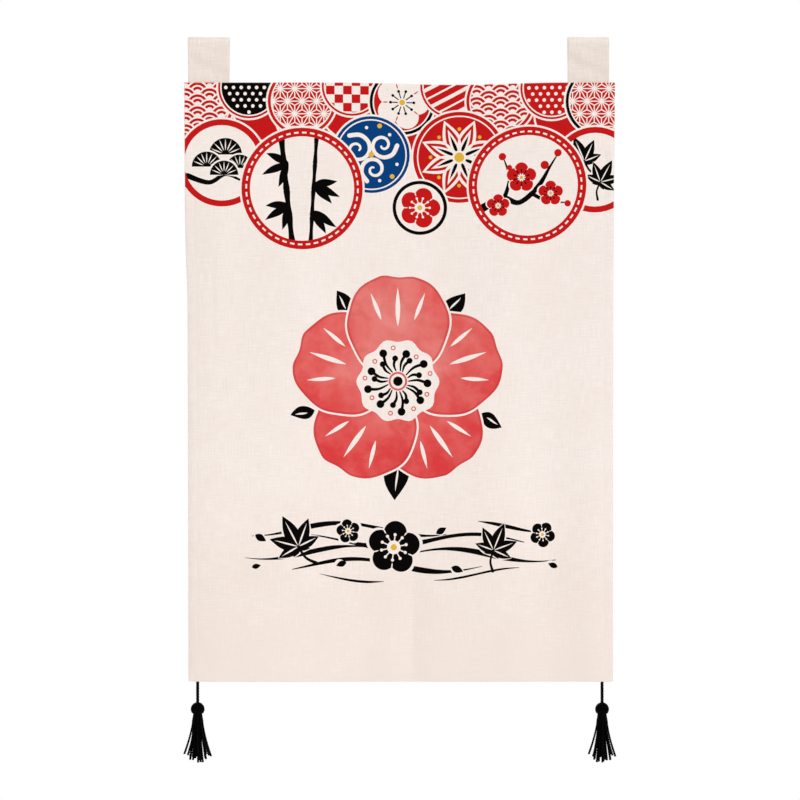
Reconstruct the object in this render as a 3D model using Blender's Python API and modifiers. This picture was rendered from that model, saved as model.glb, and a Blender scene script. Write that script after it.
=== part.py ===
"""Noren: a short linen door curtain with two tab loops and two black corner tassels.

Metres, +Z up. The front of the cloth faces -Y and +X is the viewer's right. The origin is on
the rod line, midway between the tabs, at the inner top of their loops, so all of it hangs below.
"""

import math

import bmesh
import bpy

# Gap kept between pieces that touch.
GAP = 0.0003
WELD = 0.00001

# The cloth, measured down from the top of its heading.
CLOTH_HEIGHT = 0.700
CLOTH_THICKNESS = 0.0012
HEM_WIDTH = 0.010
HEM_STEP = 0.0015
HEM_THICKNESS = 0.0022
CLOTH_COLUMNS = 30
CLOTH_ROWS = 38

# The side edges: (down, x of the left edge, x of the right edge).
SIDE_EDGES = (
    (0.000, -0.2516, 0.2516),
    (0.140, -0.2510, 0.2503),
    (0.190, -0.2504, 0.2502),
    (0.245, -0.2481, 0.2497),
    (0.420, -0.2474, 0.2494),
    (0.700, -0.2469, 0.2492),
)

# The heading hangs a little between the tabs: where, how wide, how deep, and how far down it fades.
SAG_X = 0.062
SAG_HALF_WIDTH = 0.135
SAG_DROP = 0.0024
SAG_FADES_BY = 0.200

# Soft folds: (x at the upper end, x at the lower end, down from, down to, half width,
# depth behind the flat cloth). A fold whose lower end is past the hem runs off the cloth.
PAST_HEM = 0.900
FOLDS = (
    (-0.258, -0.254, 0.06, PAST_HEM, 0.052, 0.0055),
    (0.256, 0.254, 0.28, PAST_HEM, 0.044, 0.0032),
    (-0.128, -0.156, 0.14, PAST_HEM, 0.078, -0.0034),
    (0.116, 0.098, 0.12, 0.66, 0.072, -0.0042),
    (-0.020, -0.052, 0.34, PAST_HEM, 0.048, 0.0024),
    (0.010, 0.015, 0.44, PAST_HEM, 0.034, 0.0034),
    (0.176, 0.186, 0.36, PAST_HEM, 0.054, 0.0042),
    (0.030, 0.062, -0.20, 0.26, 0.150, 0.0042),
    (-0.206, -0.070, 0.03, 0.36, 0.034, -0.0018),
    (0.204, 0.090, 0.03, 0.33, 0.034, -0.0018),
)
FOLD_FADE = 0.130

# The tabs: strips folded over the rod line and sewn behind the heading.
TAB_X = {"tab_left": -0.2229, "tab_right": 0.2205}
TAB_WIDTH = 0.0485
TAB_DROP = 0.0515
TAB_THICKNESS = 0.0014
TAB_INNER_RADIUS = 0.0070
TAB_SEAM_ABOVE_HEADING = 0.0010
TAB_LEG = 0.0200
TAB_ARC_STEPS = 14
TAB_COLUMNS = 4
TAB_HOLDS_CLOTH = 0.045

# The tassels: a wound ball, a tied waist and a spread skirt of square strands.
TASSEL_X = {"tassel_left": -0.2362, "tassel_right": 0.2366}
TASSEL_BELOW_HEM = 0.0246
BALL_RADIUS = 0.00745
BALL_TOP_RADIUS = 0.0020
WAIST_RADIUS = 0.0052
COLLAR_LENGTH = 0.0120
SKIRT_LENGTH = 0.0570
SKIRT_FLARE = 0.0134
SKIRT_CURVE = 1.4
STRAND_RADIUS = 0.0011
STRAND_STEPS = 6
STRAND_SUNK = 0.0030
OUTER_STRAND_SHORTER = 0.0060
HEAD_STEPS = 20
HEAD_ARC_STEPS = 9
COLLAR_STEPS = 3

# Rings of strands: (count, radius under the collar, share of the flare, turn of the first in
# degrees). They stand apart from each other from the collar down.
STRAND_RINGS = (
    (12, 0.0054, 1.00, 8.0),
    (5, 0.0025, 0.50, 21.0),
    (1, 0.0000, 0.04, 0.0),
)
# How unevenly the strands end and lean, as waves around the tassel: (waves, size).
TIP_WAVES = ((3, 0.0022), (5, 0.0016), (8, 0.0011))
LEAN_WAVES = ((2, 0.0007), (5, 0.0009))

# The twisted cords that carry the tassels.
CORD_OF = {"tassel_left": "tassel_cord_left", "tassel_right": "tassel_cord_right"}
CORD_RADIUS = 0.00155
CORD_BEHIND_HEM = 0.0120
CORD_PLIES = 3
CORD_PLY_POINTS = 4
CORD_PLY_RELIEF = 0.16
CORD_PITCH = 0.0100
CORD_STEPS_A_TURN = 10

LINEN = (0.80, 0.75, 0.70, 1.0)
LINEN_ROUGHNESS = 0.9
BLACK_YARN = (0.008, 0.008, 0.009, 1.0)
YARN_ROUGHNESS = 0.6

HEADING_Z = -TAB_DROP
HEM_Z = HEADING_Z - CLOTH_HEIGHT
# The tab's two layers lie either side of the rod line, with the cloth in front of both.
TAB_LAYER_Y = (TAB_THICKNESS + GAP) / 2
CLOTH_BACK_Y = -(TAB_LAYER_Y + TAB_THICKNESS / 2 + GAP)
CLOTH_FRONT_Y = CLOTH_BACK_Y - HEM_THICKNESS


def clear_scene():
    for old in list(bpy.data.objects):
        bpy.data.objects.remove(old, do_unlink=True)


def new_collection(name):
    collection = bpy.data.collections.new(name)
    bpy.context.scene.collection.children.link(collection)
    return collection


def new_material(name, colour, roughness):
    material = bpy.data.materials.new(name)
    material.use_nodes = True
    shader = material.node_tree.nodes["Principled BSDF"]
    shader.inputs["Base Color"].default_value = colour
    shader.inputs["Roughness"].default_value = roughness
    shader.inputs["Metallic"].default_value = 0.0
    return material


def add_object(name, data, collection, material=None):
    made = bpy.data.objects.new(name, data)
    collection.objects.link(made)
    if material:
        data.materials.append(material)
    return made


def soft_step(t):
    """From 0 to 1, easing in and out."""
    t = min(max(t, 0.0), 1.0)
    return t * t * (3 - 2 * t)


def bump(distance, half_width):
    """A soft ridge: 1 at its middle, 0 past its half width."""
    if abs(distance) >= half_width:
        return 0.0
    return 0.5 * (1 + math.cos(math.pi * distance / half_width))


def side_edges(down):
    """The x of the left and of the right edge at a height on the cloth."""
    for above, below in zip(SIDE_EDGES, SIDE_EDGES[1:]):
        if down <= below[0]:
            break
    t = (down - above[0]) / (below[0] - above[0])
    return above[1] + t * (below[1] - above[1]), above[2] + t * (below[2] - above[2])


def released(x, down):
    """0 where a sewn tab holds the heading flat, 1 well away from it."""
    beside = min(abs(x - tab_x) for tab_x in TAB_X.values()) - TAB_WIDTH / 2
    below = down - TAB_LEG
    return max(soft_step(beside / TAB_HOLDS_CLOTH), soft_step(below / TAB_HOLDS_CLOTH))


def fold_depth(x, down):
    """How far the folds carry the cloth behind its flat plane."""
    depth = 0.0
    for x_upper, x_lower, down_from, down_to, half_width, size in FOLDS:
        t = (down - down_from) / (down_to - down_from)
        ends = soft_step((down - down_from) / FOLD_FADE) * soft_step((down_to - down) / FOLD_FADE)
        depth += size * ends * bump(x - (x_upper + t * (x_lower - x_upper)), half_width)
    return depth * released(x, down)


def sag(x, down):
    """How far the slack heading drops below the line between the tabs."""
    return SAG_DROP * bump(x - SAG_X, SAG_HALF_WIDTH) * (1 - soft_step(down / SAG_FADES_BY))


def stations(length, count):
    """Distances along one side of the cloth: the hem's own edges, and even steps between them."""
    inside = length - 2 * (HEM_WIDTH + HEM_STEP)
    even = [HEM_WIDTH + HEM_STEP + inside * i / count for i in range(count + 1)]
    return [0.0, HEM_WIDTH] + even + [length - HEM_WIDTH, length]


def grid_of(name, columns, rows, place):
    """A grid mesh whose points are moved to place(column, row), rows counted downwards."""
    bm = bmesh.new()
    bmesh.ops.create_grid(bm, x_segments=columns, y_segments=rows, size=0.5)
    for vertex in bm.verts:
        column = round((vertex.co.x + 0.5) * columns)
        row = round((0.5 - vertex.co.y) * rows)
        vertex.co = place(column, row)
    mesh = bpy.data.meshes.new(name)
    bm.to_mesh(mesh)
    bm.free()
    return mesh


def build_panel(collection, material):
    """One uncut length with a turned hem on all four sides, thicker there, and its soft folds."""
    top_width = SIDE_EDGES[0][2] - SIDE_EDGES[0][1]
    across = stations(top_width, CLOTH_COLUMNS)
    downs = stations(CLOTH_HEIGHT, CLOTH_ROWS)

    def place(column, row):
        down = downs[row]
        left, right = side_edges(down)
        x = left + (right - left) * across[column] / top_width
        return x, CLOTH_FRONT_Y + fold_depth(x, down), HEADING_Z - down - sag(x, down)

    columns, rows = len(across) - 1, len(downs) - 1
    panel = add_object("panel", grid_of("panel", columns, rows, place), collection, material)

    hem = panel.vertex_groups.new(name="hem")
    for vertex in panel.data.vertices:
        down = HEADING_Z - vertex.co.z - sag(vertex.co.x, HEADING_Z - vertex.co.z)
        left, right = side_edges(min(max(down, 0.0), CLOTH_HEIGHT))
        inset = min(vertex.co.x - left, right - vertex.co.x, down, CLOTH_HEIGHT - down)
        hem.add([vertex.index], 1.0 if inset < HEM_WIDTH + HEM_STEP / 2 else 0.0, "REPLACE")

    solid = panel.modifiers.new("cloth and hem", "SOLIDIFY")
    solid.thickness = HEM_THICKNESS
    solid.offset = -1.0
    solid.vertex_group = "hem"
    solid.thickness_vertex_group = CLOTH_THICKNESS / HEM_THICKNESS
    return panel


def tab_path():
    """The tab's middle line in (y, z): up the front leg, over the rod, down the rear leg."""
    seam_z = HEADING_Z + TAB_SEAM_ABOVE_HEADING
    radius = TAB_INNER_RADIUS + TAB_THICKNESS / 2
    reach = math.hypot(TAB_LAYER_Y, seam_z + TAB_INNER_RADIUS)
    lean = math.asin(radius / reach) - math.asin(TAB_LAYER_Y / reach)
    front = [(-TAB_LAYER_Y, HEADING_Z - TAB_LEG), (-TAB_LAYER_Y, seam_z)]
    arc = []
    for step in range(TAB_ARC_STEPS + 1):
        angle = -lean + (math.pi + 2 * lean) * step / TAB_ARC_STEPS
        arc.append((-radius * math.cos(angle), -TAB_INNER_RADIUS + radius * math.sin(angle)))
    rear = [(-y, z) for y, z in reversed(front)]
    return front + arc + rear


def build_tab(name, collection, material):
    """A strip folded to a loop, its two ends flat together behind the heading."""
    path = tab_path()

    def place(column, row):
        y, z = path[row]
        return TAB_X[name] + TAB_WIDTH * (0.5 - column / TAB_COLUMNS), y, z

    tab = add_object(name, grid_of(name, TAB_COLUMNS, len(path) - 1, place), collection, material)
    solid = tab.modifiers.new("strip", "SOLIDIFY")
    solid.thickness = TAB_THICKNESS
    solid.offset = 0.0
    solid.use_even_offset = True
    return tab


def mesh_from_curve(curve_object):
    """The curve as a mesh object of the same name, with its loose caps welded on."""
    evaluated = curve_object.evaluated_get(bpy.context.evaluated_depsgraph_get())
    mesh = bpy.data.meshes.new_from_object(evaluated)
    bm = bmesh.new()
    bm.from_mesh(mesh)
    bmesh.ops.remove_doubles(bm, verts=bm.verts, dist=WELD)
    bmesh.ops.recalc_face_normals(bm, faces=bm.faces)
    bm.to_mesh(mesh)
    bm.free()
    name, collection = curve_object.name, curve_object.users_collection[0]
    placed = curve_object.matrix_world.copy()
    bpy.data.objects.remove(curve_object, do_unlink=True)
    made = add_object(name, mesh, collection)
    made.matrix_world = placed
    return made


def add_spline(curve, points, cyclic=False):
    spline = curve.splines.new("POLY")
    spline.points.add(len(points) - 1)
    for spline_point, point in zip(spline.points, points):
        spline_point.co = (*point, 1.0)
    spline.use_cyclic_u = cyclic
    return spline


def head_profile():
    """Half the head's outline in (radius, z), from its flat top to the collar's underside."""
    ball_z = -math.sqrt(BALL_RADIUS ** 2 - BALL_TOP_RADIUS ** 2)
    first = math.asin(BALL_TOP_RADIUS / BALL_RADIUS)
    last = math.pi - math.asin(WAIST_RADIUS / BALL_RADIUS)
    profile = [(0.0, 0.0)]
    for step in range(HEAD_ARC_STEPS + 1):
        angle = first + (last - first) * step / HEAD_ARC_STEPS
        profile.append((BALL_RADIUS * math.sin(angle), ball_z + BALL_RADIUS * math.cos(angle)))
    waist_z = profile[-1][1]
    for step in range(1, COLLAR_STEPS + 1):
        down = COLLAR_LENGTH * step / COLLAR_STEPS
        profile.append((WAIST_RADIUS + skirt_flare(down), waist_z - down))
    profile.append((0.0, waist_z - COLLAR_LENGTH))
    return profile, waist_z


def skirt_flare(down):
    """How far the skirt has opened, this far below the waist."""
    return SKIRT_FLARE * (down / SKIRT_LENGTH) ** SKIRT_CURVE


def waves(table, angle):
    return sum(size * math.sin(count * angle + count) for count, size in table)


def strand_points(angle, root_radius, share):
    """One strand, from inside the collar to its tip: outer strands swing out and end higher."""
    swing = SKIRT_FLARE * share
    shorter = share * (OUTER_STRAND_SHORTER - waves(TIP_WAVES, angle))
    length = math.sqrt(SKIRT_LENGTH ** 2 - swing ** 2) - shorter
    lean = share * waves(LEAN_WAVES, angle)
    start = COLLAR_LENGTH - STRAND_SUNK
    points = []
    for step in range(STRAND_STEPS + 1):
        down = start + (length - start) * step / STRAND_STEPS
        opened = (skirt_flare(down) - skirt_flare(COLLAR_LENGTH)) / SKIRT_FLARE
        out = root_radius + (swing + lean) * opened
        points.append((out * math.cos(angle), out * math.sin(angle), -down))
    return points


def build_tassel(name, hang_y, collection, guides, material):
    """The turned head, with its strands fused into the underside of the collar."""
    profile, waist_z = head_profile()
    mesh = bpy.data.meshes.new(name)
    mesh.from_pydata([(radius, 0.0, z) for radius, z in profile],
                     [(i, i + 1) for i in range(len(profile) - 1)], [])
    head = add_object(name, mesh, collection, material)
    head.location = (TASSEL_X[name], hang_y, HEM_Z - TASSEL_BELOW_HEM)
    turned = head.modifiers.new("turned", "SCREW")
    turned.steps = turned.render_steps = HEAD_STEPS
    turned.use_merge_vertices = True
    turned.merge_threshold = WELD
    turned.use_smooth_shade = True

    curve = bpy.data.curves.new(name + "_strands", "CURVE")
    curve.dimensions = "3D"
    curve.bevel_depth = STRAND_RADIUS
    curve.bevel_resolution = 0
    curve.use_fill_caps = True
    for count, root_radius, share, first in STRAND_RINGS:
        for index in range(count):
            angle = math.radians(first) + 2 * math.pi * index / count
            add_spline(curve, strand_points(angle, root_radius, share))
    strands = mesh_from_curve(add_object(name + "_strands", curve, guides))
    strands.location = (head.location.x, head.location.y, head.location.z + waist_z)
    strands.hide_render = True
    strands.display_type = "WIRE"

    fused = head.modifiers.new("strands", "BOOLEAN")
    fused.operation = "UNION"
    fused.object = strands
    return head


def cord_section(name, guides):
    """The rope's outline: one soft lobe for each ply."""
    curve = bpy.data.curves.new(name + "_section", "CURVE")
    curve.dimensions = "2D"
    count = CORD_PLIES * CORD_PLY_POINTS
    points = []
    for index in range(count):
        angle = 2 * math.pi * index / count
        radius = CORD_RADIUS * (1 - CORD_PLY_RELIEF * (0.5 - 0.5 * math.cos(CORD_PLIES * angle)))
        points.append((radius * math.cos(angle), radius * math.sin(angle), 0.0))
    add_spline(curve, points, cyclic=True)
    section = add_object(name + "_section", curve, guides)
    section.hide_render = True
    section.display_type = "WIRE"
    return section


def cord_y(x, down):
    """Where a cord lies when it is sewn against the back of the hem."""
    back = max(fold_depth(x + side * CORD_RADIUS, down) for side in (-1, 0, 1))
    return CLOTH_FRONT_Y + back + HEM_THICKNESS + 2 * GAP + CORD_RADIUS


def build_cord(name, x, hang_y, collection, guides, material):
    """A twisted cord, from behind the bottom hem down to the tassel's ball."""
    length = CORD_BEHIND_HEM + TASSEL_BELOW_HEM - GAP
    count = round(length / CORD_PITCH * CORD_STEPS_A_TURN)
    points = []
    for index in range(count + 1):
        down = CLOTH_HEIGHT - CORD_BEHIND_HEM + length * index / count
        points.append((x, max(cord_y(x, min(down, CLOTH_HEIGHT)), hang_y), HEADING_Z - down))
    curve = bpy.data.curves.new(name, "CURVE")
    curve.dimensions = "3D"
    curve.bevel_mode = "OBJECT"
    curve.bevel_object = cord_section(name, guides)
    curve.use_fill_caps = True
    spline = add_spline(curve, points)
    for index, point in enumerate(spline.points):
        point.tilt = 2 * math.pi * index / CORD_STEPS_A_TURN
    cord = mesh_from_curve(add_object(name, curve, collection))
    cord.data.materials.append(material)
    return cord


def main():
    clear_scene()
    pieces = new_collection("noren_curtain")
    guides = new_collection("guides")
    linen = new_material("linen cloth", LINEN, LINEN_ROUGHNESS)
    yarn = new_material("black yarn", BLACK_YARN, YARN_ROUGHNESS)

    build_panel(pieces, linen)
    for name in TAB_X:
        build_tab(name, pieces, linen)
    for name, x in TASSEL_X.items():
        hang_y = cord_y(x, CLOTH_HEIGHT)
        build_tassel(name, hang_y, pieces, guides, yarn)
        build_cord(CORD_OF[name], x, hang_y, pieces, guides, yarn)


main()
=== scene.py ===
# %% [markdown]
# # A noren, the short curtain of a doorway
#
# The real thing is one uncut length of slubbed linen blend, hemmed on four sides and printed on the
# front, with two loops of the same cloth for a slim rod and a black rayon tassel at each lower
# corner. The solids already hold its size and its hanging shape. This lesson dresses them: it cuts
# the print into the cloth, weaves it, folds the tabs, stitches them on, and twists every yarn.

# %% Load the solids and measure them
import math
import random

import bmesh
import bpy
from mathutils import Matrix, Vector
from mathutils.geometry import delaunay_2d_cdt


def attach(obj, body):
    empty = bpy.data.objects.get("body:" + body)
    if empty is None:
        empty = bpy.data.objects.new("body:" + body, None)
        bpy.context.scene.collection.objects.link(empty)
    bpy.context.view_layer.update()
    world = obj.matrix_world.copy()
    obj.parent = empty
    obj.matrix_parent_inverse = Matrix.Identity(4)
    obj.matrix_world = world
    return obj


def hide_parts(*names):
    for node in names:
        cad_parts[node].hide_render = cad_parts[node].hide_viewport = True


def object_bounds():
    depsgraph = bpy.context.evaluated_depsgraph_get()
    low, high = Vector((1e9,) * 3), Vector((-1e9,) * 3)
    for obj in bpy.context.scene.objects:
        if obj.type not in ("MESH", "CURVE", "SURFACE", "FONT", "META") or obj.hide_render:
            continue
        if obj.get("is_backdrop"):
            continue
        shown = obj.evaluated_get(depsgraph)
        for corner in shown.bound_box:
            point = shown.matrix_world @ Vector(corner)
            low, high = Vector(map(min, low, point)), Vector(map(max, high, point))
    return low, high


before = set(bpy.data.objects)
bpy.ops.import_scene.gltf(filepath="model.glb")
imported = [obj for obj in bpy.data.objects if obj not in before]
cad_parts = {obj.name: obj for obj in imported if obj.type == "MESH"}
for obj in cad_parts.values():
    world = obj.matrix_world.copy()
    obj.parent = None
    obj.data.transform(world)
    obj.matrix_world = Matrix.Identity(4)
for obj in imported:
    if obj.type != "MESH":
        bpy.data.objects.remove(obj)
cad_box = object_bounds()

TAU = 2 * math.pi
MM = 0.001
print("solids:", ", ".join(sorted(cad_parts)))

# %% [markdown]
# ## Small tools
#
# Operators act on what is selected, so every modelling step first deselects all and then picks its
# own object. A finished piece keeps its place in its mesh, with the object at the origin.


# %% Selection, finishing and colour
def pick(*objects):
    """Selects these objects alone, the first one active."""
    bpy.ops.object.select_all(action="DESELECT")
    for one in objects:
        one.select_set(True)
    bpy.context.view_layer.objects.active = objects[0]


def settle(piece, name):
    """Puts a piece's place, turn and scale into its mesh, shades it smooth and names it."""
    pick(piece)
    bpy.ops.object.transform_apply(location=True, rotation=True, scale=True)
    bpy.ops.object.shade_smooth()
    piece.name = name
    piece.data.name = name
    return piece


def linked(name, data):
    """A new object of this data, in the scene."""
    made = bpy.data.objects.new(name, data)
    bpy.context.scene.collection.objects.link(made)
    return made


def mesh_object(name, points, faces):
    mesh = bpy.data.meshes.new(name)
    mesh.from_pydata(points, [], faces)
    mesh.update()
    for polygon in mesh.polygons:
        polygon.use_smooth = True
    return linked(name, mesh)


def linear(hex_colour):
    """An sRGB hex colour as the linear numbers that shaders use."""
    values = [int(hex_colour[i:i + 2], 16) / 255 for i in (1, 3, 5)]
    return tuple(v / 12.92 if v <= 0.04045 else ((v + 0.055) / 1.055) ** 2.4 for v in values)


def triangles(piece):
    return sum(len(polygon.vertices) - 2 for polygon in piece.data.polygons)


print("tools ready")

# %% [markdown]
# ## How the cloth hangs
#
# The cloth hangs from two tabs, so its heading sags a little between them and long soft folds run
# down it. These are the folds of the solid, repeated here so that the fine cloth lies exactly where
# the solid does, and below them a few narrow creases from packing, which the solid is too coarse
# to hold. A cloth simulation would give other folds each time a setting changes, and the ones in
# the photograph are few and faint, so they are placed one by one.

# %% The hanging shape
CLOTH_HEIGHT = 0.700
CLOTH_THICKNESS = 0.0012
HEM_WIDTH = 0.010
HEM_STEP = 0.0015
HEM_THICKNESS = 0.0022
HEADING_Z = -0.0515
FRONT_Y = -0.00405

# Side edges: (down, x of the left edge, x of the right edge).
SIDE_EDGES = (
    (0.000, -0.2516, 0.2516),
    (0.140, -0.2510, 0.2503),
    (0.190, -0.2504, 0.2502),
    (0.245, -0.2481, 0.2497),
    (0.420, -0.2474, 0.2494),
    (0.700, -0.2469, 0.2492),
)
SAG_X, SAG_HALF_WIDTH, SAG_DROP, SAG_FADES_BY = 0.062, 0.135, 0.0024, 0.200

# Soft folds: (x at the upper end, x at the lower end, down from, down to, half width, depth back).
PAST_HEM = 0.900
FOLDS = (
    (-0.258, -0.254, 0.06, PAST_HEM, 0.052, 0.0055),
    (0.256, 0.254, 0.28, PAST_HEM, 0.044, 0.0032),
    (-0.128, -0.156, 0.14, PAST_HEM, 0.078, -0.0034),
    (0.116, 0.098, 0.12, 0.66, 0.072, -0.0042),
    (-0.020, -0.052, 0.34, PAST_HEM, 0.048, 0.0024),
    (0.010, 0.015, 0.44, PAST_HEM, 0.034, 0.0034),
    (0.176, 0.186, 0.36, PAST_HEM, 0.054, 0.0042),
    (0.030, 0.062, -0.20, 0.26, 0.150, 0.0042),
    (-0.206, -0.070, 0.03, 0.36, 0.034, -0.0018),
    (0.204, 0.090, 0.03, 0.33, 0.034, -0.0018),
)
FOLD_FADE = 0.130
TAB_X = {"tab_left": -0.2229, "tab_right": 0.2205}
TAB_WIDTH, TAB_LEG, TAB_HOLDS_CLOTH = 0.0485, 0.0200, 0.045

# Narrow creases: (x and down at the start, x and down at the end, half width, depth back).
CREASES = (
    ((0.0160, 0.585), (0.0150, 0.720), 0.0050, 0.0009),
    ((-0.2620, 0.060), (-0.2580, 0.900), 0.0260, 0.0028),
    ((-0.2200, 0.190), (-0.2165, 0.330), 0.0060, 0.0007),
    ((0.0105, 0.300), (0.0120, 0.540), 0.0060, -0.0004),
    ((-0.2280, 0.016), (-0.1700, 0.062), 0.0060, 0.0005),
    ((0.2230, 0.016), (0.1720, 0.055), 0.0060, 0.0005),
    ((-0.2362, 0.660), (-0.2362, 0.720), 0.0060, -0.0005),
    ((0.2366, 0.660), (0.2366, 0.720), 0.0060, -0.0005),
    ((-0.0600, 0.640), (-0.0560, 0.720), 0.0090, -0.0006),
    ((0.1240, 0.630), (0.1300, 0.720), 0.0090, -0.0006),
)
CREASE_TAPER = 0.7
# The hem's folded edge shows through the face as a faint groove.
HEM_GROOVE, HEM_GROOVE_HALF_WIDTH = 0.00022, 0.0022


def soft_step(t):
    t = min(max(t, 0.0), 1.0)
    return t * t * (3 - 2 * t)


def bump(distance, half_width):
    """A soft ridge: 1 at its middle, 0 past its half width."""
    if abs(distance) >= half_width:
        return 0.0
    return 0.5 * (1 + math.cos(math.pi * distance / half_width))


def between(start, end, t):
    """What lies at a share t of the way from one point, or one colour, to another."""
    return tuple(a + (b - a) * t for a, b in zip(start, end))


def side_edges(down):
    """The x of the left and right edges at a height."""
    for above, below in zip(SIDE_EDGES, SIDE_EDGES[1:]):
        if down <= below[0]:
            break
    return between(above, below, (down - above[0]) / (below[0] - above[0]))[1:]


def released(x, down):
    """0 where a sewn tab holds the heading flat, 1 well away from it."""
    beside = min(abs(x - tab_x) for tab_x in TAB_X.values()) - TAB_WIDTH / 2
    below = down - TAB_LEG
    return max(soft_step(beside / TAB_HOLDS_CLOTH), soft_step(below / TAB_HOLDS_CLOTH))


def fold_depth(x, down):
    depth = 0.0
    for x_upper, x_lower, down_from, down_to, half_width, size in FOLDS:
        t = (down - down_from) / (down_to - down_from)
        ends = soft_step((down - down_from) / FOLD_FADE) * soft_step((down_to - down) / FOLD_FADE)
        depth += size * ends * bump(x - (x_upper + t * (x_lower - x_upper)), half_width)
    return depth * released(x, down)


def sag(x, down):
    return SAG_DROP * bump(x - SAG_X, SAG_HALF_WIDTH) * (1 - soft_step(down / SAG_FADES_BY))


def crease_depth(x, down):
    depth = 0.0
    for (x0, down0), (x1, down1), half_width, size in CREASES:
        t = (down - down0) / (down1 - down0)
        if 0 <= t <= 1:
            taper = math.sin(math.pi * t) ** CREASE_TAPER
            depth += size * taper * bump(x - x0 - t * (x1 - x0), half_width)
    return depth


CLOTH_WIDTH = SIDE_EDGES[0][2] - SIDE_EDGES[0][1]


def inset_at(across, down):
    """How far a point of the flat cloth is from its nearest edge."""
    return min(CLOTH_WIDTH / 2 - abs(across), down, CLOTH_HEIGHT - down)


def single_layer(across, down):
    """0 where the turned hem lies behind the face, 1 where nothing does."""
    return soft_step((inset_at(across, down) - HEM_WIDTH) / HEM_STEP)


def cloth_place(across, down):
    """Where a point of the flat cloth hangs: across from its middle, down from its heading."""
    left, right = side_edges(min(max(down, 0.0), CLOTH_HEIGHT))
    x = left + (right - left) * (across / CLOTH_WIDTH + 0.5)
    past_hem = inset_at(across, down) - HEM_WIDTH - HEM_STEP / 2
    groove = HEM_GROOVE * bump(past_hem, HEM_GROOVE_HALF_WIDTH)
    y = FRONT_Y + fold_depth(x, down) + crease_depth(x, down) + groove
    return Vector((x, y, HEADING_Z - down - sag(x, down)))


def cloth_thickness(across, down):
    """Two more layers lie behind the face where the hem is turned."""
    return HEM_THICKNESS + (CLOTH_THICKNESS - HEM_THICKNESS) * single_layer(across, down)


# %% [markdown]
# ## Drawing tools for the print
#
# A screen print has crisp edges and few inks, so it is drawn as outlines in flat millimetres on the
# cloth: across from the middle, down from the heading. Each outline is laid over the ones before
# it, as a printer's stencils are, and an outline may be held inside an earlier one, as paint is
# inside a mask. Bare is an ink too: it uncovers the cloth.

# %% Outlines in millimetres
stencils = []


def lay(points, ink, inside=None):
    """Lays one outline in an ink over the others, and gives its number.

    The cutter below takes the left of an outline's first edge for its inside. So each one is
    turned to start at its leftmost point, and to run round with its inside on the left.
    """
    first = min(range(len(points)), key=lambda i: (points[i][0], points[i][1]))
    turned = points[first:] + points[:first]
    ahead = (turned[1][0] - turned[0][0], turned[1][1] - turned[0][1])
    behind = (turned[-1][0] - turned[0][0], turned[-1][1] - turned[0][1])
    if ahead[0] * behind[1] < ahead[1] * behind[0]:
        turned = [turned[0], *reversed(turned[1:])]
    stencils.append((turned, ink, inside))
    return len(stencils) - 1


def polar(angle, length, middle=(0.0, 0.0)):
    """The point at an angle in degrees and a length from a middle."""
    turn = math.radians(angle)
    return middle[0] + length * math.cos(turn), middle[1] + length * math.sin(turn)


def circle(middle, radius, count=32):
    return [polar(360 * i / count, radius, middle) for i in range(count)]


def blossom(middle, radius, turn=-90.0):
    """A flower of five round petals that meet at its heart, as one outline."""
    reach, size = 0.56 * radius, 0.44 * radius
    points = []
    for angle in range(0, 360, 6):
        off = math.radians((angle - turn + 36) % 72 - 36)
        length = reach * math.cos(off) + math.sqrt(size ** 2 - (reach * math.sin(off)) ** 2)
        points.append(polar(angle, length, middle))
    return points


def leaf(base, angle, length, width, bend=0.0, steps=8):
    """A pointed leaf or slit that grows from its base, and may bend to one side."""
    along, across = polar(angle, 1.0), polar(angle + 90, 1.0)

    def at(t, side):
        far, bent = length * t, bend * math.sin(math.pi * t / 2) ** 2
        out = side * width / 2 * math.sin(math.pi * t ** 0.85) + bent
        return (base[0] + along[0] * far + across[0] * out,
                base[1] + along[1] * far + across[1] * out)

    return ([at(i / steps, 1) for i in range(steps + 1)]
            + [at(i / steps, -1) for i in range(steps - 1, 0, -1)])


def sector(middle, inner, outer, first, last, steps=14):
    """Part of a ring between two angles."""
    angles = [first + (last - first) * i / steps for i in range(steps + 1)]
    return ([polar(a, outer, middle) for a in angles]
            + [polar(a, inner, middle) for a in reversed(angles)])


def line(start, end, width):
    """A straight line with square ends."""
    length = math.dist(start, end)
    aside = ((start[1] - end[1]) * width / 2 / length, (end[0] - start[0]) * width / 2 / length)
    return [(start[0] + aside[0], start[1] + aside[1]), (end[0] + aside[0], end[1] + aside[1]),
            (end[0] - aside[0], end[1] - aside[1]), (start[0] - aside[0], start[1] - aside[1])]


def smooth(points, steps=6):
    """Points on a soft curve through the given ones, each with all of its numbers eased."""
    ends = [points[0], *points, points[-1]]
    curve = []
    for a, b, c, d in zip(ends, ends[1:], ends[2:], ends[3:]):
        for step in range(steps):
            t = step / steps
            curve.append(tuple(
                0.5 * (2 * q + (r - p) * t + (2 * p - 5 * q + 4 * r - s) * t ** 2
                       + (3 * q - p - 3 * r + s) * t ** 3)
                for p, q, r, s in zip(a, b, c, d)))
    return [*curve, points[-1]]


def beside(path, index):
    """The points before and after one of a path's points."""
    return path[max(index - 1, 0)], path[min(index + 1, len(path) - 1)]


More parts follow.
